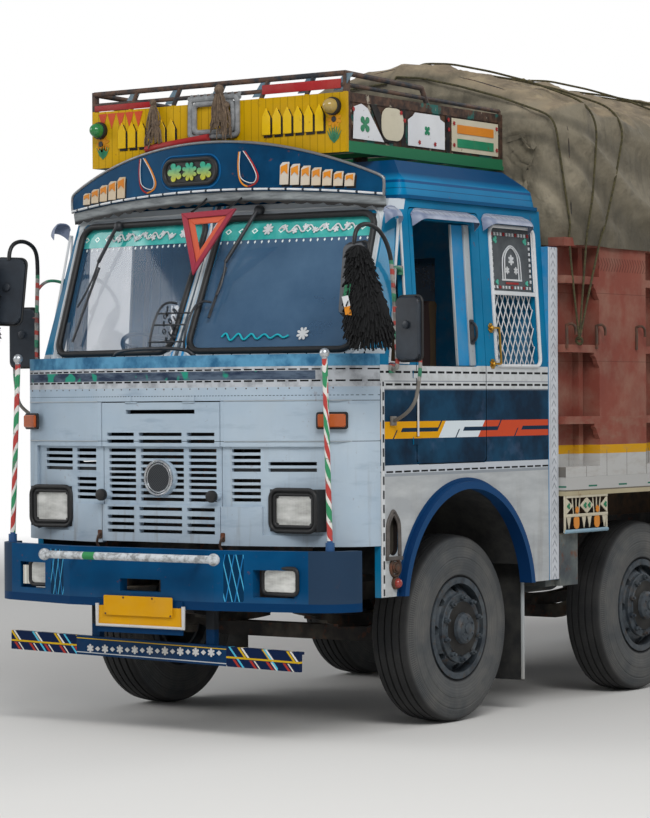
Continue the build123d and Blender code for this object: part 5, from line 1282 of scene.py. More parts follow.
gaskets = [loop(on_screen(pane_line(side, 0.004), 0.002), 0.019, 4) for side in (1, -1)]
corners = []
for side in (1, -1):
    for cx, cz in ((1.0, 1), (1.0, -1), (-1.0, 1), (-1.0, -1)):
        wide, tall = 0.4865, 0.3675
        mx, mz = (1.025 + 0.062) / 2, 2.4475
        tip = (mx + cx * wide, mz + cz * tall)
        arc = [(mx + cx * (wide - 0.075 + 0.075 * sin(a)), mz + cz * (tall - 0.075 + 0.075 * cos(a)))
            for a in [pi / 2 * k / 6 for k in range(7)]]
        shape = [(side * x, z) for x, z in [tip] + arc]
        corners.append(lay_on_screen(front_board(shape, 0.003, 0.012, 0)))
settle(gaskets + corners, "windscreen_gaskets", black_rubber, slot="soft_rubber")
rims = [loop(on_screen(pane_line(side, 0.045), -0.001), 0.007) for side in (1, -1)]
settle(rims, "windscreen_rims", plain_paint("rim_silver", "b4bbbf", "c9cdd0", dirt=0.12))

# Scrolled vine along the top strip, and daisies
vines, daisies = [], []
for start, end in ((0.430, 0.950), (-0.840, -0.290)):
    vine = [(start + (end - start) * k / 40, 2.748 + 0.020 * sin(k * 0.95)) for k in range(41)]
    vines.append(bent(on_screen(vine, -0.010), 0.0045, 2))
    for k in range(8):
        place = (start + (end - start) * (k + 0.5) / 8, 2.748 + 0.010 * (-1) ** k)
        vines.append(lay_on_screen(front_board(flower(0.018, 5, 0.4, place), 0.014, 0.003, 0)))
for x, z, size in ((0.355, 2.752, 0.033), (-0.225, 2.755, 0.030), (0.720, 2.165, 0.036)):
    daisies.append(lay_on_screen(front_board(flower(size, 8, 0.4, (x, z)), 0.013, 0.003, 0)))
settle(vines + daisies, "windscreen_flowers", white_paint, slot="window_glass")
vine = [(0.240 + 0.40 * k / 40, 2.152 + 0.022 * sin(k * 0.8) * (1 - k / 60)) for k in range(41)]
settle(bent(on_screen(vine, -0.010), 0.0055, 2), "windscreen_low_scroll",
    plain_paint("scroll_cyan", "1f9fb0", "2fb5c0", dirt=0.05, chips=0.0), slot="window_glass")


def hanging_triangle(outer, inner, y_shift, thickness):
    """An open triangle made of three boards between its outer and inner corners."""
    parts = []
    for k in range(3):
        a, b = outer[k], outer[(k + 1) % 3]
        c, d = inner[(k + 1) % 3], inner[k]
        points = [Vector(p) for p in (a, b, c, d)]
        right = (points[1] - points[0]).normalized()
        normal = right.cross(points[3] - points[0]).normalized()
        up = normal.cross(right)
        flat = [((p - points[0]).dot(right), (p - points[0]).dot(up)) for p in points]
        parts.append(board(flat, points[0] + Vector((0, y_shift, 0)), right, up,
            thickness if normal.y < 0 else -thickness, 0.003))
    return join(parts)


corners_out = [(-0.060, aft(-0.985), 2.843), (0.307, aft(-0.965), 2.855), (0.053, aft(-1.030), 2.494)]
centre = sum((Vector(p) for p in corners_out), Vector()) / 3
middle_line = [centre + (Vector(p) - centre) * 0.72 for p in corners_out]
corners_in = [centre + (Vector(p) - centre) * 0.42 for p in corners_out]
settle(hanging_triangle(corners_out, middle_line, 0, 0.016), "warning_triangle_edge",
    plain_paint("triangle_red", "8e3448", "a23a44", dirt=0.1), slot="soft_rubber")
settle(hanging_triangle(middle_line, corners_in, 0.003, 0.010), "warning_triangle_inside",
    plain_paint("triangle_salmon", "d0664a", "c4583f", dirt=0.08, chips=0.1), slot="soft_rubber")
straps = [bent([(0.0, aft(-0.98), 2.850), (-0.01, aft(-0.90), 2.880), (-0.01, crown_y(0) + 0.03, 2.94)],
    0.006, 2), bent([(0.22, aft(-0.975), 2.850), (0.23, aft(-0.90), 2.880),
    (0.23, crown_y(0.2) + 0.03, 2.93)], 0.006, 2)]
settle(straps, "triangle_straps", black_rubber, slot="soft_rubber")

# Wipers
wipers = []
for points in (((-0.734, 2.813), (-0.818, 2.606), (-0.905, 2.147), -0.012),
        ((0.290, 2.860), (0.172, 2.570), (0.150, 2.260), 0.02)):
    (x0, z0), (x1, z1), (x2, z2), shift = points
    line = on_screen([(x0, z0), ((x0 + x1) / 2, (z0 + z1) / 2), (x1, z1)], 0.040)
    wipers.append(bent(line, 0.011, 3))
    wipers.append(bent([line[-1]] + on_screen([(x1 + shift, z1 - 0.12), (x2 + shift, (z1 + z2) / 2 - 0.03)],
        0.034), 0.006, 2))
    wipers.append(bent(on_screen([(x1, z1 - 0.03), ((x1 + x2) / 2, (z1 + z2) / 2), (x2, z2)], 0.020), 0.008,
        2))
    wipers.append(ball((x0, screen_y(x0, z0) - 0.022, z0), 0.030, 1.0, 16))
settle(wipers, "wipers", black_wire, slot="soft_rubber")

# Wire rack under the middle post, and the bar below it
rack = []
for x in (-0.185, 0.055):
    rack.append(bent([(x - 0.01, screen_y(0.1, 2.09) - 0.02, 2.085),
        (x - 0.005, screen_y(0.1, 2.15) - 0.06, 2.150), (x, screen_y(0.1, 2.3) - 0.06, 2.310),
        (x + 0.05, screen_y(0.1, 2.35) - 0.05, 2.362), (x + 0.09, screen_y(0.1, 2.33) - 0.01, 2.345)],
        0.007, 2))
for z in (2.130, 2.225, 2.290):
    rack.append(bent([(-0.190, screen_y(0.1, z) - 0.060, z), (0.055, screen_y(0.1, z) - 0.060, z)], 0.005,
        2, smooth=False))
for k in range(16):
    place = (-0.075 + 0.035 * sin(k * 1.9), screen_y(0.05, 2.2) - 0.045 + 0.006 * (k % 3), 2.105 + k * 0.014)
    rack.append(hoop(place, (1, k % 2, 0.4 * (k % 3)), 0.013, 0.004, 10, 6))
rack.append(bent([(-0.421, aft(-1.150), 2.028), (-0.400, aft(-1.190), 2.050), (-0.330, aft(-1.200), 2.092),
    (0.120, aft(-1.200), 2.094), (0.170, aft(-1.190), 2.050), (0.188, aft(-1.150), 2.020)], 0.010, 3))
settle(rack, "wire_rack", black_wire, slot="chassis_steel")


# Cab front
def front_y(x):
    """Y of the bowed cab front at an X."""
    x = abs(x)
    if x < 0.440:
        return aft(-1.272)
    (a, p), (b, q), (c, r) = ((0.440, -1.272), (0.730, -1.208), (1.010, -1.118)) if x < 1.010 else ((1.010,
        -1.118), (1.135, -1.045), (1.203, -0.905))
    return aft(p * (x - b) * (x - c) / ((a - b) * (a - c)) + q * (x - a) * (x - c) / ((b - a) * (b - c)) + r
        * (x - a) * (x - b) / ((c - a) * (c - b)))


BADGE_Y = aft(-1.286)
settle(join([hoop((0, BADGE_Y - 0.002, 1.385), (0, 1, 0), 0.093, 0.008),
    hoop((0, BADGE_Y - 0.002, 1.385), (0, 1, 0), 0.078, 0.004)]), "badge_ring", chrome, body="flap",
    slot="lamp_glass")
f = Finish("badge_mesh_finish")
grid = ((f.x + f.z).repeat(0.014) < 0.004).both((f.x - f.z).repeat(0.014) < 0.004)
badge_mesh = f.done(f.mix(grid, "15171a", "45494d"), 0.4, metallic=grid * 0.7, bump=grid, depth=0.003)
settle(front_board(round_line(0.088, (0, 1.385), 36), BADGE_Y, 0.003), "badge_mesh", badge_mesh,
    body="flap", slot="lamp_glass")
knobs = [rod((x, aft(-1.296), 1.290), (x, aft(-1.330), 1.290), 0.033, 20, 0.008) for x in (-0.384, 0.384)]
settle(knobs, "flap_knobs", black_rubber, body="flap", slot="soft_rubber")
latches = []
for x in (-0.428, 0.428):
    latches.append(bent([(x, aft(-1.268), 1.075), (x + 0.006, aft(-1.292), 1.070), (x, aft(-1.296), 1.045),
        (x - 0.010, aft(-1.290), 1.020), (x - 0.002, aft(-1.280), 1.000)], 0.007, 2))
    latches.append(front_board(rounded(0.030, 0.050, 0.008, (x, 1.070)), aft(-1.270), 0.006))
settle(latches, "front_latches", rusty_iron, slot="chassis_steel")
ribs = []
for z in (1.803, 1.585):
    for low, high in ((0.440, 1.185), (-1.185, -0.440)):
        ribs.append(bent([(low + (high - low) * k / 12, front_y(low + (high - low) * k / 12) - 0.0005, z)
            for k in range(13)], 0.0035, 2))
settle(ribs, "front_panel_edges", plain_paint("panel_edge", "a9b2b9", "8e989f", dirt=0.2))
rivets = []
for k in range(36):
    x = -1.05 + k * 0.060
    rivets.append((x, front_y(x) + 0.001, 1.868))
settle(copies(ball((0, 0, 0), 0.0045, 0.7, 8), rivets), "front_rivets", rusty_iron)

# Headlamps, fog lamps and indicators
f = Finish("reflector_glass")
flutes = (f.x.repeat(0.018) * 55.0).sine() * 0.5 + 0.5
tone = f.mix(f.place.stretched(3.0, 1.0, 9.0).clouds(2.0, 3.0).fade(0.35, 0.65), "a3a39e", "e6e6e1")
lens_glass = f.done(f.mix(flutes * 0.25, tone, "f0efe9"), 0.12, metallic=0.25, bump=flutes, depth=0.002,
    coat=1.0)
bezels, lenses, rings = [], [], []
for side in (1, -1):
    mx, mz = side * 0.843, 1.2175
    for grow, depth, thick in ((0.004, -1.202, 0.012), (-0.020, -1.196, 0.010)):
        line = rounded(0.290 + 2 * grow, 0.212 + 2 * grow, 0.045 + grow, (mx, mz), 6)
        bezels.append(loop([(x, aft(depth), z) for x, z in line], thick, 4))
    for cx, cz in ((1, 1), (1, -1), (-1, 1), (-1, -1)):
        bezels.append(front_board(rounded(0.030, 0.030, 0.008, (mx + cx * 0.118, mz + cz * 0.080)),
            aft(-1.172), 0.026))
    lenses.append(front_board(rounded(0.262, 0.182, 0.030, (mx, mz)), aft(-1.174), 0.016, 0.006))
    rings.append(loop([(x, aft(-1.184), z) for x, z in rounded(0.240, 0.162, 0.026, (mx, mz), 5)], 0.004, 2))
    low, high = (0.723, 1.007) if side > 0 else (0.690, 0.900)
    fx, fz = side * (low + high) / 2, 0.852
    wide = high - low - 0.075
    bezels.append(loop([(x, aft(-1.352), z) for x, z in rounded(wide + 0.015, 0.138, 0.03, (fx, fz), 5)],
        0.011))
    lenses.append(front_board(rounded(wide, 0.122, 0.024, (fx, fz)), aft(-1.342), 0.012, 0.005))
settle(bezels, "lamp_bezels", black_rubber, slot="soft_rubber")
settle(lenses, "lamp_lenses", lens_glass, slot="lamp_glass")
settle(rings, "headlamp_rings", chrome, slot="lamp_glass")
ix = 1.045
along = Vector((0.16, front_y(ix + 0.08) - front_y(ix - 0.08), 0)).normalized()
indicator_place = (ix, front_y(ix), 1.695)
settle_pair(board(rounded(0.172, 0.092, 0.014), indicator_place, along, Z, 0.014, 0.003), "indicator_bases",
    black_rubber, slot="soft_rubber")
lens_place = Vector(indicator_place) + along.cross(Z) * 0.012
settle_pair(board(rounded(0.150, 0.070, 0.010), lens_place, along, Z, 0.016, 0.005), "indicator_lenses",
    amber_glass, slot="lamp_glass")

# Plates on the bumper, left blank
PLATE_Y = aft(-1.459)
settle(join([front_board(rounded(0.585, 0.110, 0.008, (0.008, 0.640)), PLATE_Y, 0.004),
    front_board(rounded(0.478, 0.107, 0.008, (0.000, 0.698)), PLATE_Y - 0.012, 0.003)]), "front_plates",
    yellow_plate, slot="bumper_paint")
rail = [(-0.290, 0.705), (-0.290, 0.588), (0.306, 0.588), (0.306, 0.705)]
settle(bent([(x, PLATE_Y - 0.006, z) for x, z in rail], 0.011, 3, smooth=False), "plate_frame", white_paint,
    slot="bumper_paint")
screws = [(x, PLATE_Y - 0.016, 0.742) for x in (-0.10, 0.10)] + [(x, PLATE_Y - 0.016, 0.652)
    for x in (-0.225, 0.225)]
settle(copies(ball((0, 0, 0), 0.006, 0.6, 10), screws), "plate_screws", rusty_iron, slot="bumper_paint")
handles = []
for x in (-0.596, 0.498):
    handles.append(bent([(x - 0.055, aft(-1.120), 2.010), (x - 0.052, aft(-1.150), 2.008),
        (x + 0.052, aft(-1.150), 2.008), (x + 0.055, aft(-1.120), 2.010)], 0.007, 2, smooth=False))
    for end in (-0.055, 0.055):
        handles.append(block((x + end - 0.012, aft(-1.135), 1.993), (x + end + 0.012, aft(-1.110), 2.023)))
settle(handles, "front_handles", black_wire, slot="chassis_steel")


# Cab sides
def lean(z):
    return -0.055 * max(0.0, z - 1.985) / 0.910


def lay_on_side(piece):
    """Lean a side piece, made upright at X = 1.203, with the cab side."""
    for corner in piece.data.vertices:
        corner.co.x += lean(corner.co.z)
    return piece


def hood(first, last, top, reach=0.072):
    """Rain hood over a window: a curved sheet with rounded ends."""
    unselect()
    bpy.ops.mesh.primitive_grid_add(x_subdivisions=28, y_subdivisions=7, size=2.0)
    sheet = bpy.context.object
    for corner in sheet.data.vertices:
        u, v = (corner.co.x + 1) / 2, (corner.co.y + 1) / 2
        y = first + (last - first) * u
        near = min(y - first, last - y) / 0.055
        end = sqrt(max(0.0, 1 - max(0.0, 1 - near) ** 2))
        angle = v * pi / 2 * 0.92
        z = top - 0.030 * (1 - end) - 0.058 * (1 - cos(angle)) - 0.012 * v * (1 - end)
        x = 1.206 + lean(z) + reach * sin(angle) * (0.12 + 0.88 * end)
        corner.co = Vector((x, y, z))
    sheet = face_outward(apply_modifier(sheet, "SOLIDIFY", thickness=SHEET, offset=0.0))
    rim = []
    for k in range(25):
        y = first + (last - first) * k / 24
        near = min(y - first, last - y) / 0.055
        end = sqrt(max(0.0, 1 - max(0.0, 1 - near) ** 2))
        z = top + 0.004 - 0.034 * (1 - end)
        rim.append((1.208 + lean(z), y, z))
    return join([sheet, bent(rim, 0.005, 2)])


f = Finish("rain_hood")
upper = f.mix(f.y.repeat(0.050) < 0.006, "a4a9b6", "4a4c52")
lavender = f.mix(f.spots(9.0, 0.35, 0.65, 4.0), "65708a", "8891a6")
hood_finish = f.done(f.mix(f.facing()[2].fade(0.62, 0.82), lavender, upper), 0.4)
settle_pair(join([hood(aft(-0.790), aft(-0.655), 2.840, 0.058), hood(aft(0.190), aft(0.680), 2.845)]),
    "rain_hoods", hood_finish, smooth=50)


def on_doors(piece, name, finish, slot="cab_paint", smooth=35):
    """A piece for each door: the given one on the left, its mirror image on the right."""
    twin = piece.copy()
    twin.data = piece.data.copy()
    twin.data.transform(Matrix.Scale(-1, 4, (1, 0, 0)))
    twin.data.flip_normals()
    bpy.context.scene.collection.objects.link(twin)
    settle(piece, f"{name}_left", finish, "left_door", slot, smooth)
    settle(twin, f"{name}_right", finish, "right_door", slot, smooth)


on_doors(hood(aft(-0.530), aft(0.100), 2.838), "door_hood", hood_finish, smooth=50)
pane_edge = lay_on_side(side_strip(-0.104, -0.095, 1.990, 2.775, 1.170, 0.014))
channel = lay_on_side(side_strip(0.018, 0.073, 1.990, 2.780, 1.178, 0.014, 0.003))
on_doors(join([pane_edge, channel]), "door_pane_channel", grey_channel)
strip = lay_on_side(side_strip(-0.095, 0.018, 1.990, 2.775, 1.172, 0.010))
on_doors(strip, "door_pane_strip", plain_paint("pane_strip_blue", "1a7cb0", "2187bb", dirt=0.15))
grip = join([bent([(1.196, aft(0.045), 2.125), (1.222, aft(0.045), 2.140), (1.226, aft(0.045), 2.180),
    (1.222, aft(0.045), 2.222), (1.196, aft(0.045), 2.235)], 0.008, 3),
    side_board(rounded(0.045, 0.140, 0.012, (aft(0.045), 2.180)), 1.188, 0.008)])
on_doors(lay_on_side(grip), "door_handle", black_wire, slot="chassis_steel")
on_doors(side_strip(-0.548, -0.534, 1.605, 1.903, CAB_X, 0.005), "door_piping", white_paint)

# Rear side windows: white frame, plaque and diamond mesh
window_edge = rounded(0.480, 0.795, 0.045, (aft(0.5075), 2.390))
frames = [loop([(1.206 + lean(z), y, z) for y, z in window_edge], 0.011)]
frames.append(lay_on_side(side_strip(0.265, 0.750, 2.396, 2.420, 1.196, 0.008, 0.002)))
for low, high in ((0.262, 0.284), (0.728, 0.752)):
    frames.append(lay_on_side(side_strip(low, high, 2.420, 2.778, 1.196, 0.007, 0.002)))
quarter = ((-0.815, 2.005), (-0.636, 2.000), (-0.636, 2.775), (-0.652, 2.775))
frames.append(loop([(1.206 + lean(z), aft(y), z) for y, z in quarter], 0.008))
settle_pair(frames, "rear_window_frames", white_paint)
lattice = []
low_y, high_y, low_z, high_z = aft(0.276), aft(0.740), 1.999, 2.400
slope = 1.85
for k in range(-9, 12):
    for direction in (1, -1):
        start = low_y + k * 0.058 if direction > 0 else high_y - k * 0.058
        ends = []
        for z in (low_z, high_z):
            y = start + direction * (z - low_z) / slope
            if low_y <= y <= high_y:
                ends.append((y, z))
        for y in (low_y, high_y):
            z = low_z + (y - start) * direction * slope
            if low_z < z < high_z:
                ends.append((y, z))
        if len(ends) > 1 and abs(ends[0][0] - ends[1][0]) > 0.01:
            (y0, z0), (y1, z1) = ends[:2]
            x = 1.172 + 0.004 * direction
            lattice.append(rod((x + lean(z0), y0, z0), (x + lean(z1), y1, z1), 0.0035, 6))
settle_pair(lattice, "window_lattice", white_paint)
plaque_wall = lay_on_side(side_strip(0.284, 0.728, 2.420, 2.776, 1.186, 0.006))
settle_pair(plaque_wall, "window_plaque", matt_finish("plaque_grey", "34393d", "4a5053", 0.5, 12.0))
whites, reds, teals = [], [], []


def plaque_flower(group, radius, petals, inner, distance, z):
    group.append(side_board(flower(radius, petals, inner, (aft(distance), z)), PLAQUE_X, 0.003, 0))


for k in range(13):
    y = 0.310 + k * 0.0325
    plaque_flower(reds if k % 4 == 0 else whites, 0.012, 4, 0.4, y, 2.745)
    plaque_flower(reds if k % 4 == 2 else whites, 0.010, 4, 0.4, y, 2.442)
for k in range(8):
    for y in (0.302, 0.710):
        plaque_flower(whites, 0.011, 4, 0.4, y, 2.480 + k * 0.032)
for y in (0.345, 0.668):
    plaque_flower(teals, 0.022, 3, 0.45, y, 2.712)
    plaque_flower(teals, 0.016, 3, 0.45, y, 2.470)
for half in (0.100, 0.075):
    line = [(1.194, aft(0.507 - half), 2.490), (1.194, aft(0.507 - half), 2.590),
        (1.194, aft(0.507 - half * 0.8), 2.640), (1.194, aft(0.507), 2.640 + half * 0.55),
        (1.194, aft(0.507 + half * 0.8), 2.640), (1.194, aft(0.507 + half), 2.590),
        (1.194, aft(0.507 + half), 2.490)]
    whites.append(bent(line, 0.004, 2))
for y, z, size in ((0.507, 2.600, 0.030), (0.460, 2.540, 0.022), (0.554, 2.540, 0.022)):
    plaque_flower(whites, size, 6, 0.3, y, z)
whites.append(side_strip(0.400, 0.615, 2.480, 2.490, PLAQUE_X, 0.003, 0))
reds.append(side_strip(0.440, 0.575, 2.460, 2.472, PLAQUE_X, 0.003, 0))
settle_pair(lay_on_side(join(whites)), "plaque_white_flowers", white_paint)
settle_pair(lay_on_side(join(reds)), "plaque_red_flowers", red_paint)
settle_pair(lay_on_side(join(teals)), "plaque_teal_leaves", plain_paint("teal_leaf", "3f9a86", "57b39c",
    dirt=0.1))
rosettes = []
for z in (2.206, 2.003):
    rosettes.append(lay_on_side(side_board(flower(0.030, 8, 0.6, (aft(0.226), z)), CAB_X, 0.006)))
    rosettes.append(lay_on_side(ball((1.214, aft(0.226), z), 0.014, 1.0, 14)))
    rosettes.append(lay_on_side(rod((1.206, aft(0.226), z), (1.240, aft(0.262), z), 0.006, 10)))
rosettes.append(bent([(1.240 + lean(z), aft(0.262), z) for z in (2.206, 2.10, 2.003)], 0.007, 3))
settle_pair(rosettes, "brass_rosettes", brass, slot="bare_pipe")

# White strip with chevrons up the cab's rear corner, and beads on its front corner
f = Finish("chevron_strip_finish")
middle = (f.y - aft(0.888)).size()
chevron = (f.z + middle * 1.3).repeat(0.048)
dark = chevron.within(0.010, 0.022) * (middle < 0.024)
worn = f.spots(10.0, 0.4, 0.7, 5.0) * 0.35
chevron_paint = f.done(f.layers("c6c9ce", (worn, "8f949a"), (dark, "8b9098"),
    (middle.within(0.036, 0.040), "9a9fa6")), 0.45, bump=dark, depth=0.002)
settle_pair(side_strip(0.838, 0.938, 0.752, 2.688, CAB_X, 0.006, 0.002), "corner_chevron_strip",
    chevron_paint)
corner_bead = beaded("corner_bead", "cfd2d3", 0.045, 0.075, upright=True)
settle_pair(side_strip(-0.900, -0.868, 0.752, 1.905, CAB_X), "corner_strip", white_paint)
beads = bent([(1.209, aft(-0.884), 0.760), (1.209, aft(-0.884), 1.900)], 0.005, 2, smooth=False)
settle_pair(beads, "corner_beads", corner_bead)

# Arched niche, filler cap and side lamp by the wheel
niche = [(-0.060, 0.965), (-0.060, 1.110), (-0.052, 1.155), (-0.026, 1.185), (0.0, 1.215), (0.026, 1.185),
    (0.052, 1.155), (0.060, 1.110), (0.060, 0.965)]
line = [(1.206, aft(-0.790 + y), z) for y, z in niche]
inner = [(1.208, aft(-0.790 + y * 0.80), 0.975 + (z - 0.965) * 0.88) for y, z in niche]
niche_parts = [bent(line, 0.010, 3), bent(inner, 0.006, 3), block((1.200, aft(-0.862), 0.945),
    (1.222, aft(-0.718), 0.965))]
settle_pair(niche_parts, "niche_trim", matt_finish("old_lead", "46413e", "5c5550", 0.6, 25.0))
settle_pair(side_board(rounded(0.088, 0.218, 0.042, (aft(-0.790), 1.080)), 1.1735, 0.003), "niche_back",
    black_paint)
caps = [hoop((1.206, aft(-0.775), 0.905), (1, 0, 0), 0.046, 0.010, 24, 8),
    hoop((1.212, aft(-0.775), 0.905), (1, 0, 0), 0.026, 0.006), rod((1.200, aft(-0.775), 0.905),
    (1.226, aft(-0.775), 0.905), 0.022, 18, 0.005), rod((1.200, aft(-0.775), 0.822),
    (1.222, aft(-0.775), 0.822), 0.034, 18, 0.005)]
settle_pair(caps, "side_cap", rusty_iron, slot="chassis_steel")
settle_pair(ball((1.222, aft(-0.775), 0.822), 0.026, 1.0, 16), "side_lamp_lens", red_glass, slot="lamp_glass")


# Tyres with grooves and sidewall rings, and wheel nuts
HALF_SECTION = [(0.110, 0.2626), (0.117, 0.292), (0.126, 0.296), (0.129, 0.306), (0.1325, 0.330),
    (0.1325, 0.338), (0.1350, 0.342), (0.1352, 0.388), (0.1325, 0.391), (0.1325, 0.396), (0.1345, 0.399),
    (0.1290, 0.447), (0.1255, 0.450), (0.1250, 0.456), (0.1275, 0.459), (0.1225, 0.484), (0.1190, 0.500),
    (0.1080, 0.513), (0.1020, 0.5165), (0.0760, 0.5200), (0.0745, 0.5090), (0.0655, 0.5090),
    (0.0640, 0.5220), (0.0290, 0.5240), (0.0275, 0.5120), (0.0185, 0.5120), (0.0170, 0.5246)]


def spun(outline, centre, steps=96):
    """A closed outline of (out, radius) points, spun round the axle."""
    unselect()
    bpy.ops.mesh.primitive_circle_add(vertices=len(outline), fill_type="NOTHING")
    piece = bpy.context.object
    for corner, (a, b) in zip(piece.data.vertices, outline):
        corner.co = Vector(centre) + Vector((a, 0, b))
    start_edit()
    bpy.ops.mesh.spin(steps=steps, angle=2 * pi, center=centre, axis=(1, 0, 0))
    bpy.ops.mesh.select_all(action="SELECT")
    bpy.ops.mesh.remove_doubles(threshold=0.00005)
    bpy.ops.mesh.normals_make_consistent(inside=False)
    end_edit()
    return piece


WHEELS = [("1", 0.0, 0.985, False), ("2", 2.100, 0.985, False), ("3", 5.550, 0.930, True),
    ("4", 6.920, 0.930, True)]


def round_axle(piece, centre, side, count):
    """Copies of a piece, made above the origin, all the way round an axle."""
    outward = Matrix.Translation(centre) @ Matrix.Scale(side, 4, (1, 0, 0))
    return copies(piece, [outward @ Matrix.Rotation(2 * pi * k / count, 4, "X") for k in range(count)])


def wheel_place(f):
    """Radius and angle of a point round its own axle."""
    d = f.d - (f.d > 1.05) * 2.100 - (f.d > 3.8) * 3.450 - (f.d > 6.235) * 1.370
    z = f.z - AXLE_Z
    return (d * d + z * z).maths("SQRT"), d.maths("ARCTAN2", d, z)


f = Finish("tyre_rubber_finish")
radius, angle = wheel_place(f)
dusty = f.spots(5.0, 0.35, 0.75, 6.0)
wall = f.mix(dusty, "45484a", "64625e")
rings = (radius * 400.0).sine() * 0.5 + 0.5
wall = f.mix(rings * 0.25, wall, "2d2f31")
ticks = (angle.repeat(0.0262) < 0.011) * radius.within(0.462, 0.498)
tread = f.mix(dusty * 0.5, "17181a", "3d3c3a")
rubber = f.layers(wall, (ticks * 0.6, "26282a"), (radius.fade(0.495, 0.512), tread),
    (radius < 0.300, "1c1d1f"))
sipes = (angle.repeat(0.0349) < 0.006) * (radius > 0.515)
tyre_skin = f.done(rubber, 0.82, bump=ticks * 0.6 - sipes * 0.5 + f.place.clouds(150.0, 3.0) * 0.25,
    depth=0.004)
f = Finish("wheel_iron")
radius, angle = wheel_place(f)
mottle = f.spots(14.0, 0.38, 0.66, 5.0)
iron = f.mix(mottle, "2c343c", "4b5359")
iron = f.layers(iron, (f.spots(26.0, 0.55, 0.66, 5.0) * 0.55, "4a3828"),
    (radius.within(0.088, 0.150), "14120f"), (f.spots(5.0, 0.45, 0.8) * 0.3, "6d6a63"))
wheel_iron = f.done(iron, 0.6, metallic=0.3, bump=f.place.clouds(90.0, 4.0), depth=0.001)
for name in [f"wheel_{n}{s}" for n in "12" for s in "lr"] + [f"wheels_{n}{s}" for n in "34" for s in "lr"]:
    give(bpy.data.objects[name], wheel_iron)
section = HALF_SECTION + [(0.0, 0.5250)] + [(-a, r) for a, r in reversed(HALF_SECTION)]
for axle, distance, track, twin in WHEELS:
    for letter, side in (("l", 1), ("r", -1)):
        word = "tyres" if twin else "tyre"
        body = ("road_wheels_" if twin else "road_wheel_") + axle + letter
        middles = (-0.155, 0.155) if twin else (0.0,)
        rings_made = [spun(section, (side * track + side * m, aft(distance), AXLE_Z), 72) for m in middles]
        rubber_piece = settle(rings_made, f"{word}_{axle}{letter}_rubber", tyre_skin, body, "tyre_rubber", 40)
        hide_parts(f"{word}_{axle}{letter}")
        centre = Vector((side * track, aft(distance), AXLE_Z))
        low = 0.026 if twin else 0.128
        flange = spun([(low - 0.012, 0.152), (low + 0.010, 0.152), (low + 0.014, 0.156),
            (low + 0.014, 0.190), (low + 0.010, 0.194), (low - 0.012, 0.194)], centre, 48)
        for corner in flange.data.vertices:
            corner.co.x = centre.x + (corner.co.x - centre.x) * side
        nut = join([rod((low + 0.013, 0, 0.173), (low + 0.034, 0, 0.173), 0.0165, 6, 0.002),
            rod((low + 0.033, 0, 0.173), (low + 0.048, 0, 0.173), 0.009, 10, 0.002)])
        nuts = round_axle(nut, centre, side, 10)
        reach = 0.215 if twin else 0.185
        cap_bolt = rod((reach - 0.001, 0, 0.056), (reach + 0.006, 0, 0.056), 0.006, 6, 0.001)
        bolts = round_axle(cap_bolt, centre, side, 6)
        parts = [flange, nuts, bolts, rod(centre + Vector((side * (reach - 0.002), 0, 0)),
            centre + Vector((side * (reach + 0.010), 0, 0)), 0.030, 20, 0.004),
            hoop(centre + Vector((side * (0.120 + (0.155 if twin else 0)), 0, 0)), (1, 0, 0), 0.2745, 0.006,
            64, 8)]
        settle(face_outward(join(parts)), f"wheel_nuts_{axle}{letter}", wheel_iron, body, "hub_paint")


# Mirror arms of painted pipe, with rounded mirror heads
f = Finish("striped_pipe")
band = (f.z + f.y * 0.3).repeat(0.200)
pipe_paint = f.layers("8d8b86", (band.within(0.00, 0.030), "a03a31"), (band.within(0.055, 0.100), "2c7a5a"),
    (band.within(0.130, 0.155), "a03a31"), (f.spots(22.0, 0.5, 0.6, 4.0) * 0.6, "3c3a38"),
    (f.z > 2.545, "141415"), (f.z < 1.900, "6f6a63"))
pipe_finish = f.done(pipe_paint, 0.5, bump=f.place.clouds(60.0, 3.0), depth=0.0008)
arms, heads, rims, glasses = [], [], [], []
arms.append(bent([(1.213, aft(-0.800), 1.970), (1.250, aft(-0.815), 1.962), (1.270, aft(-0.835), 2.000),
    (1.262, aft(-0.840), 2.200), (1.250, aft(-0.845), 2.440), (1.240, aft(-0.850), 2.580),
    (1.215, aft(-0.890), 2.690), (1.206, aft(-0.990), 2.735), (1.205, aft(-1.090), 2.725),
    (1.205, aft(-1.140), 2.670), (1.205, aft(-1.138), 2.620)], 0.012, 4))
arms.append(bent([(1.190, aft(-0.672), 2.500), (1.205, aft(-0.740), 2.520), (1.235, aft(-0.820), 2.500),
    (1.250, aft(-0.846), 2.450)], 0.009, 3))
arms.append(bent([(1.255, aft(-0.840), 2.300), (1.290, aft(-0.846), 2.292), (1.340, aft(-0.845), 2.290)],
    0.009, 3))
arms.append(bent([(1.425, aft(-0.850), 2.040), (1.426, aft(-0.850), 1.960), (1.405, aft(-0.850), 1.840),
    (1.385, aft(-0.848), 1.780), (1.300, aft(-0.820), 1.715), (1.213, aft(-0.790), 1.690)], 0.010, 4))
arms.append(block((1.2035, aft(-0.825), 1.945), (1.217, aft(-0.775), 1.995)))
arms.append(block((1.2035, aft(-0.815), 1.665), (1.217, aft(-0.765), 1.715)))
arms.append(block((1.174, aft(-0.695), 2.475), (1.188, aft(-0.650), 2.525)))
settle_pair(arms, "mirror_arms", pipe_finish, slot="mirror_back")
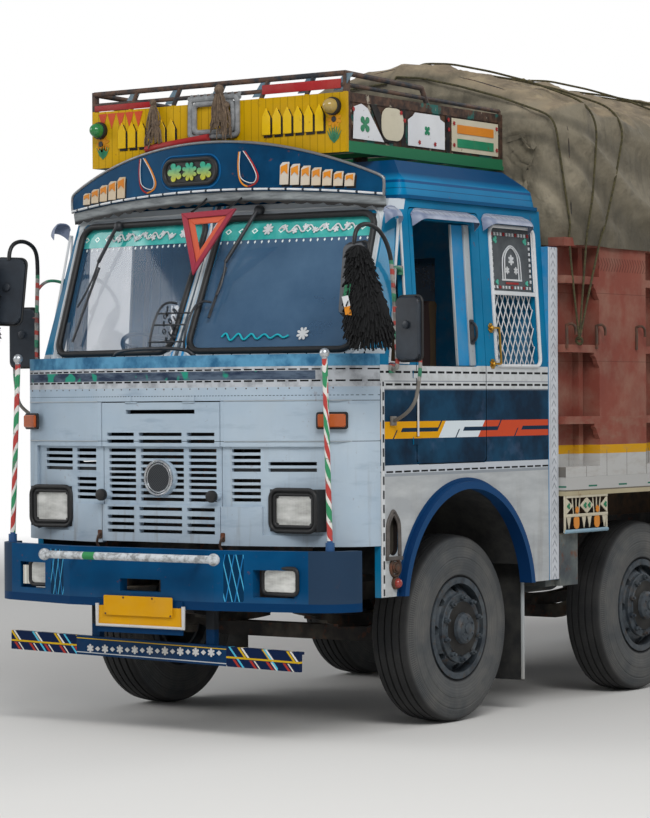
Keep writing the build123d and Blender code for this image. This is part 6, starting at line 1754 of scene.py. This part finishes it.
for place, tip, turn_z, wide, tall in (((1.205, aft(-1.150), 2.440), -8, -18, 0.190, 0.380),
        ((1.352, aft(-0.850), 2.180), 0, -12, 0.180, 0.340)):
    turn = Matrix.Translation(place) @ Matrix.Rotation(radians(tip), 4,
        "X") @ Matrix.Rotation(radians(turn_z), 4, "Z")
    shell = board(rounded(wide, tall, 0.034), (0, 0.013, 0), X, Z, 0.030, 0.009)
    rim = loop([(x, 0.010, z) for x, z in rounded(wide + 0.004, tall + 0.004, 0.036, (0, 0), 6)], 0.008)
    pane = board(rounded(tall - 0.012, wide - 0.012, 0.030), (0, 0.0145, 0), Z, X, 0.002, 0.0005)
    clamp = rod((0, -0.016, 0.02), (0, -0.030, 0.02), 0.022, 16, 0.004)
    for group, piece in ((heads, join([shell, clamp])), (rims, rim), (glasses, pane)):
        piece.data.transform(turn)
        group.append(piece)
settle_pair(heads, "mirror_heads", matt_finish("mirror_shell", "1b2129", "283039", 0.45, 10.0),
    slot="mirror_back")
mirror_rims = settle_pair(rims, "mirror_rims", black_rubber, slot="mirror_back")
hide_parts("mirrors")
settle_pair(glasses, "mirror_glasses", mirror_glass, slot="window_glass")

# Shaggy black tassels in front of the upper mirrors, with a striped ribbon
def shag(top, bottom, width, depth, count, seed):
    # noise_vector draws random numbers, and with a set seed they are the same in each run
    noise.seed_set(7)
    top, bottom = Vector(top), Vector(bottom)
    lines = []
    for k in range(count):
        t = (k + 0.5) / count
        turn = k * 2.39996
        girth = (0.30 + 0.70 * min(1.0, t * 1.25)) * (1 if t < 0.88 else 1 - (t - 0.88) * 2.5)
        spot = top.lerp(bottom, t) + Vector((cos(turn) * width * girth, sin(turn) * depth * girth, 0))
        sway = noise.noise_vector(Vector((k * 0.37, seed, 1.3)))
        out = Vector((cos(turn), sin(turn) * 0.6, -0.3 - t)).normalized()
        lines.append([spot - out * 0.020, spot + out * 0.016 + sway * 0.016,
            spot + out * 0.030 + sway * 0.030 + Vector((0, 0, -0.024))])
    return tubes(lines, 0.0038, 0, steps=3)


core = ball((0, 0, 0), 1.0, 1.0, 32)
tassel_top, tassel_foot = Vector((1.288, aft(-1.232), 2.600)), Vector((1.378, aft(-1.240), 2.110))
for corner in core.data.vertices:
    t = (1 - corner.co.z) / 2
    girth = 0.26 + 0.74 * smooth_step(t * 1.35)
    lump = 1 + 0.16 * noise.noise(corner.co * 2.6) + 0.06 * noise.noise(corner.co * 7.0)
    middle = tassel_top.lerp(tassel_foot, t)
    reach = sqrt(max(0.0, 1 - (2 * t - 1) ** 6))
    flat = Vector((corner.co.x, corner.co.y, 0))
    flat = flat.normalized() if flat.length > 0.001 else flat
    corner.co = middle + Vector((flat.x * 0.132 * girth * reach, flat.y * 0.048 * girth * reach, 0)) * lump
mass = join([core, shag(tassel_top, tassel_foot, 0.128, 0.046, 1500, 1.0)])
settle_pair(mass, "mirror_tassels", matt_finish("black_wool", "060607", "121315", 0.95, 70.0),
    slot="soft_rubber", smooth=60)
ribbon_line = [(1.235, aft(-1.262), 2.400), (1.222, aft(-1.275), 2.340), (1.238, aft(-1.283), 2.285),
    (1.246, aft(-1.280), 2.245)]
for index, colour in ((0, green_paint), (1, white_paint), (2, orange_paint)):
    (x0, y0, z0), (x1, y1, z1) = ribbon_line[index], ribbon_line[index + 1]
    settle_pair(board([(0, 0), (0.040, 0.006), (0.040 + x1 - x0, z1 - z0 - 0.004), (x1 - x0, z1 - z0)],
        (x0, (y0 + y1) / 2, z0), X, Z, 0.004, 0.001), f"ribbon_{index}", colour, slot="cloth")


# Padded seats
def cushion(low, high):
    """A padded block that swells between its corners, by the cap at most."""
    inset, cap = 0.014, 0.024
    pad = block([a + inset for a in low], [b - inset for b in high], 0.020, 3)
    apply_modifier(pad, "REMESH", mode="VOXEL", voxel_size=0.014)
    before = [corner.co.copy() for corner in pad.data.vertices]
    cloth = pad.modifiers.new("cloth", "CLOTH")
    cloth.settings.use_pressure = True
    cloth.settings.uniform_pressure_force = 4.0
    cloth.settings.effector_weights.gravity = 0
    for frame_number in range(1, 21):
        bpy.context.scene.frame_set(frame_number)
    bpy.ops.object.modifier_apply(modifier=cloth.name)
    bpy.context.scene.frame_set(1)
    for corner, start in zip(pad.data.vertices, before):
        move = corner.co - start
        if move.length > cap:
            corner.co = start + move.normalized() * cap
    apply_modifier(pad, "SUBSURF", levels=1, render_levels=1)
    for corner in pad.data.vertices:
        for axis in range(3):
            corner.co[axis] = min(max(corner.co[axis], low[axis] - 0.004), high[axis] + 0.004)
    return pad


pads = []
for middle in (-0.640, 0.640):
    pads.append(cushion((middle - 0.240, aft(-0.350), 1.7605), (middle + 0.240, aft(0.104), 1.885)))
    pads.append(cushion((middle - 0.240, aft(0.108), 1.825), (middle + 0.240, aft(0.230), 2.400)))
pads.append(cushion((-1.095, aft(0.507), 1.7605), (1.095, aft(0.768), 1.890)))
trim = []
for middle in (-0.640, 0.640):
    for x in (-0.12, 0.0, 0.12):
        trim.append(bent([(middle + x, aft(0.1085), 2.36), (middle + x, aft(0.103), 2.10),
            (middle + x, aft(0.1085), 1.90)], 0.004, 2))
seat_pads = settle(pads, "seat_pads", seat_finish(), slot="seat_cover", smooth=60)
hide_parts("seats")
settle(trim, "seat_piping", black_rubber, slot="seat_cover")

# Cream bracket with cut-out shapes under the body's front end, with a light blue pipe
creams, oranges, greens = [], [], []
for first in (0.965, 1.205):
    low, middle, high, last = 1.128, 1.175, 1.222, first + 0.235
    creams += [side_board([(aft(first), low), (aft(first + 0.075), middle), (aft(first), high)], 1.240,
        0.006), side_board([(aft(last), low), (aft(last - 0.075), middle), (aft(last), high)], 1.240,
        0.006)]
    for shift in (-0.030, 0.0, 0.030):
        centre = aft(first + 0.1175)
        creams.append(side_board([(centre + shift * 1.5 - 0.004, high),
            (centre + shift * 1.5 + 0.004, high), (centre + shift + 0.003, low),
            (centre + shift - 0.003, low)], 1.238, 0.004, 0))
    oranges += [side_board(flower(0.022, 6, 0.6, (aft(first + 0.1175), 1.150)), 1.245, 0.005),
        side_board(rounded(0.060, 0.078, 0.026, (aft(first + 0.1175), 1.078), 5), 1.240, 0.006)]
    greens += [side_board(flower(0.019, 3, 0.4, (aft(first + 0.022), middle)), 1.246, 0.004),
        side_board(flower(0.019, 3, 0.4, (aft(last - 0.022), middle)), 1.246, 0.004)]
    creams += [side_board([(aft(first + dy), 1.114), (aft(first + dy + 0.050), 1.114),
        (aft(first + dy + 0.025), 1.040)], 1.240, 0.005) for dy in (0.005, 0.180)]
creams += [block((1.236, aft(0.958), 1.110), (1.248, aft(1.447), 1.128), 0.002),
    block((1.236, aft(0.958), 1.222), (1.248, aft(1.447), 1.240), 0.002)]
creams += [block((1.232, aft(y), 1.020), (1.242, aft(y + 0.014), 1.236), 0.002) for y in (0.951, 1.439)]
settle_pair(creams, "body_bracket_cream", cream_paint, slot="body_paint")
settle_pair(oranges, "body_bracket_flowers", orange_paint, slot="body_paint")
settle_pair(greens, "body_bracket_leaves", green_paint, slot="body_paint")
pipe = rod((1.240, aft(0.952), 1.026), (1.240, aft(1.452), 1.026), 0.012, 14, 0.003)
settle_pair(pipe, "body_bracket_pipe", plain_paint("pipe_blue", "6f93a8", "8aa9ba", dirt=0.2),
    slot="bare_pipe")

# Small white flowers and dashes along the lower bar, and the pale edges of the flaps
small = []
for k in range(9):
    x = -0.420 + 0.105 * k
    z = 0.452 + x * 0.0175
    small.append(front_board(flower(0.024, 6, 0.45, (x, z)), aft(-1.3705), 0.003, 0.0005))
    small.append(front_board([(x + 0.036, z), (x + 0.053, z + 0.014), (x + 0.070, z),
        (x + 0.053, z - 0.014)], aft(-1.3705), 0.003, 0))
settle(small, "lower_bar_flowers", white_paint, slot="bumper_paint")
settle_pair(block((1.120, aft(0.649), 0.185), (1.134, aft(0.669), 0.750), 0.002), "mudguard_edge",
    grey_channel, slot="soft_rubber")
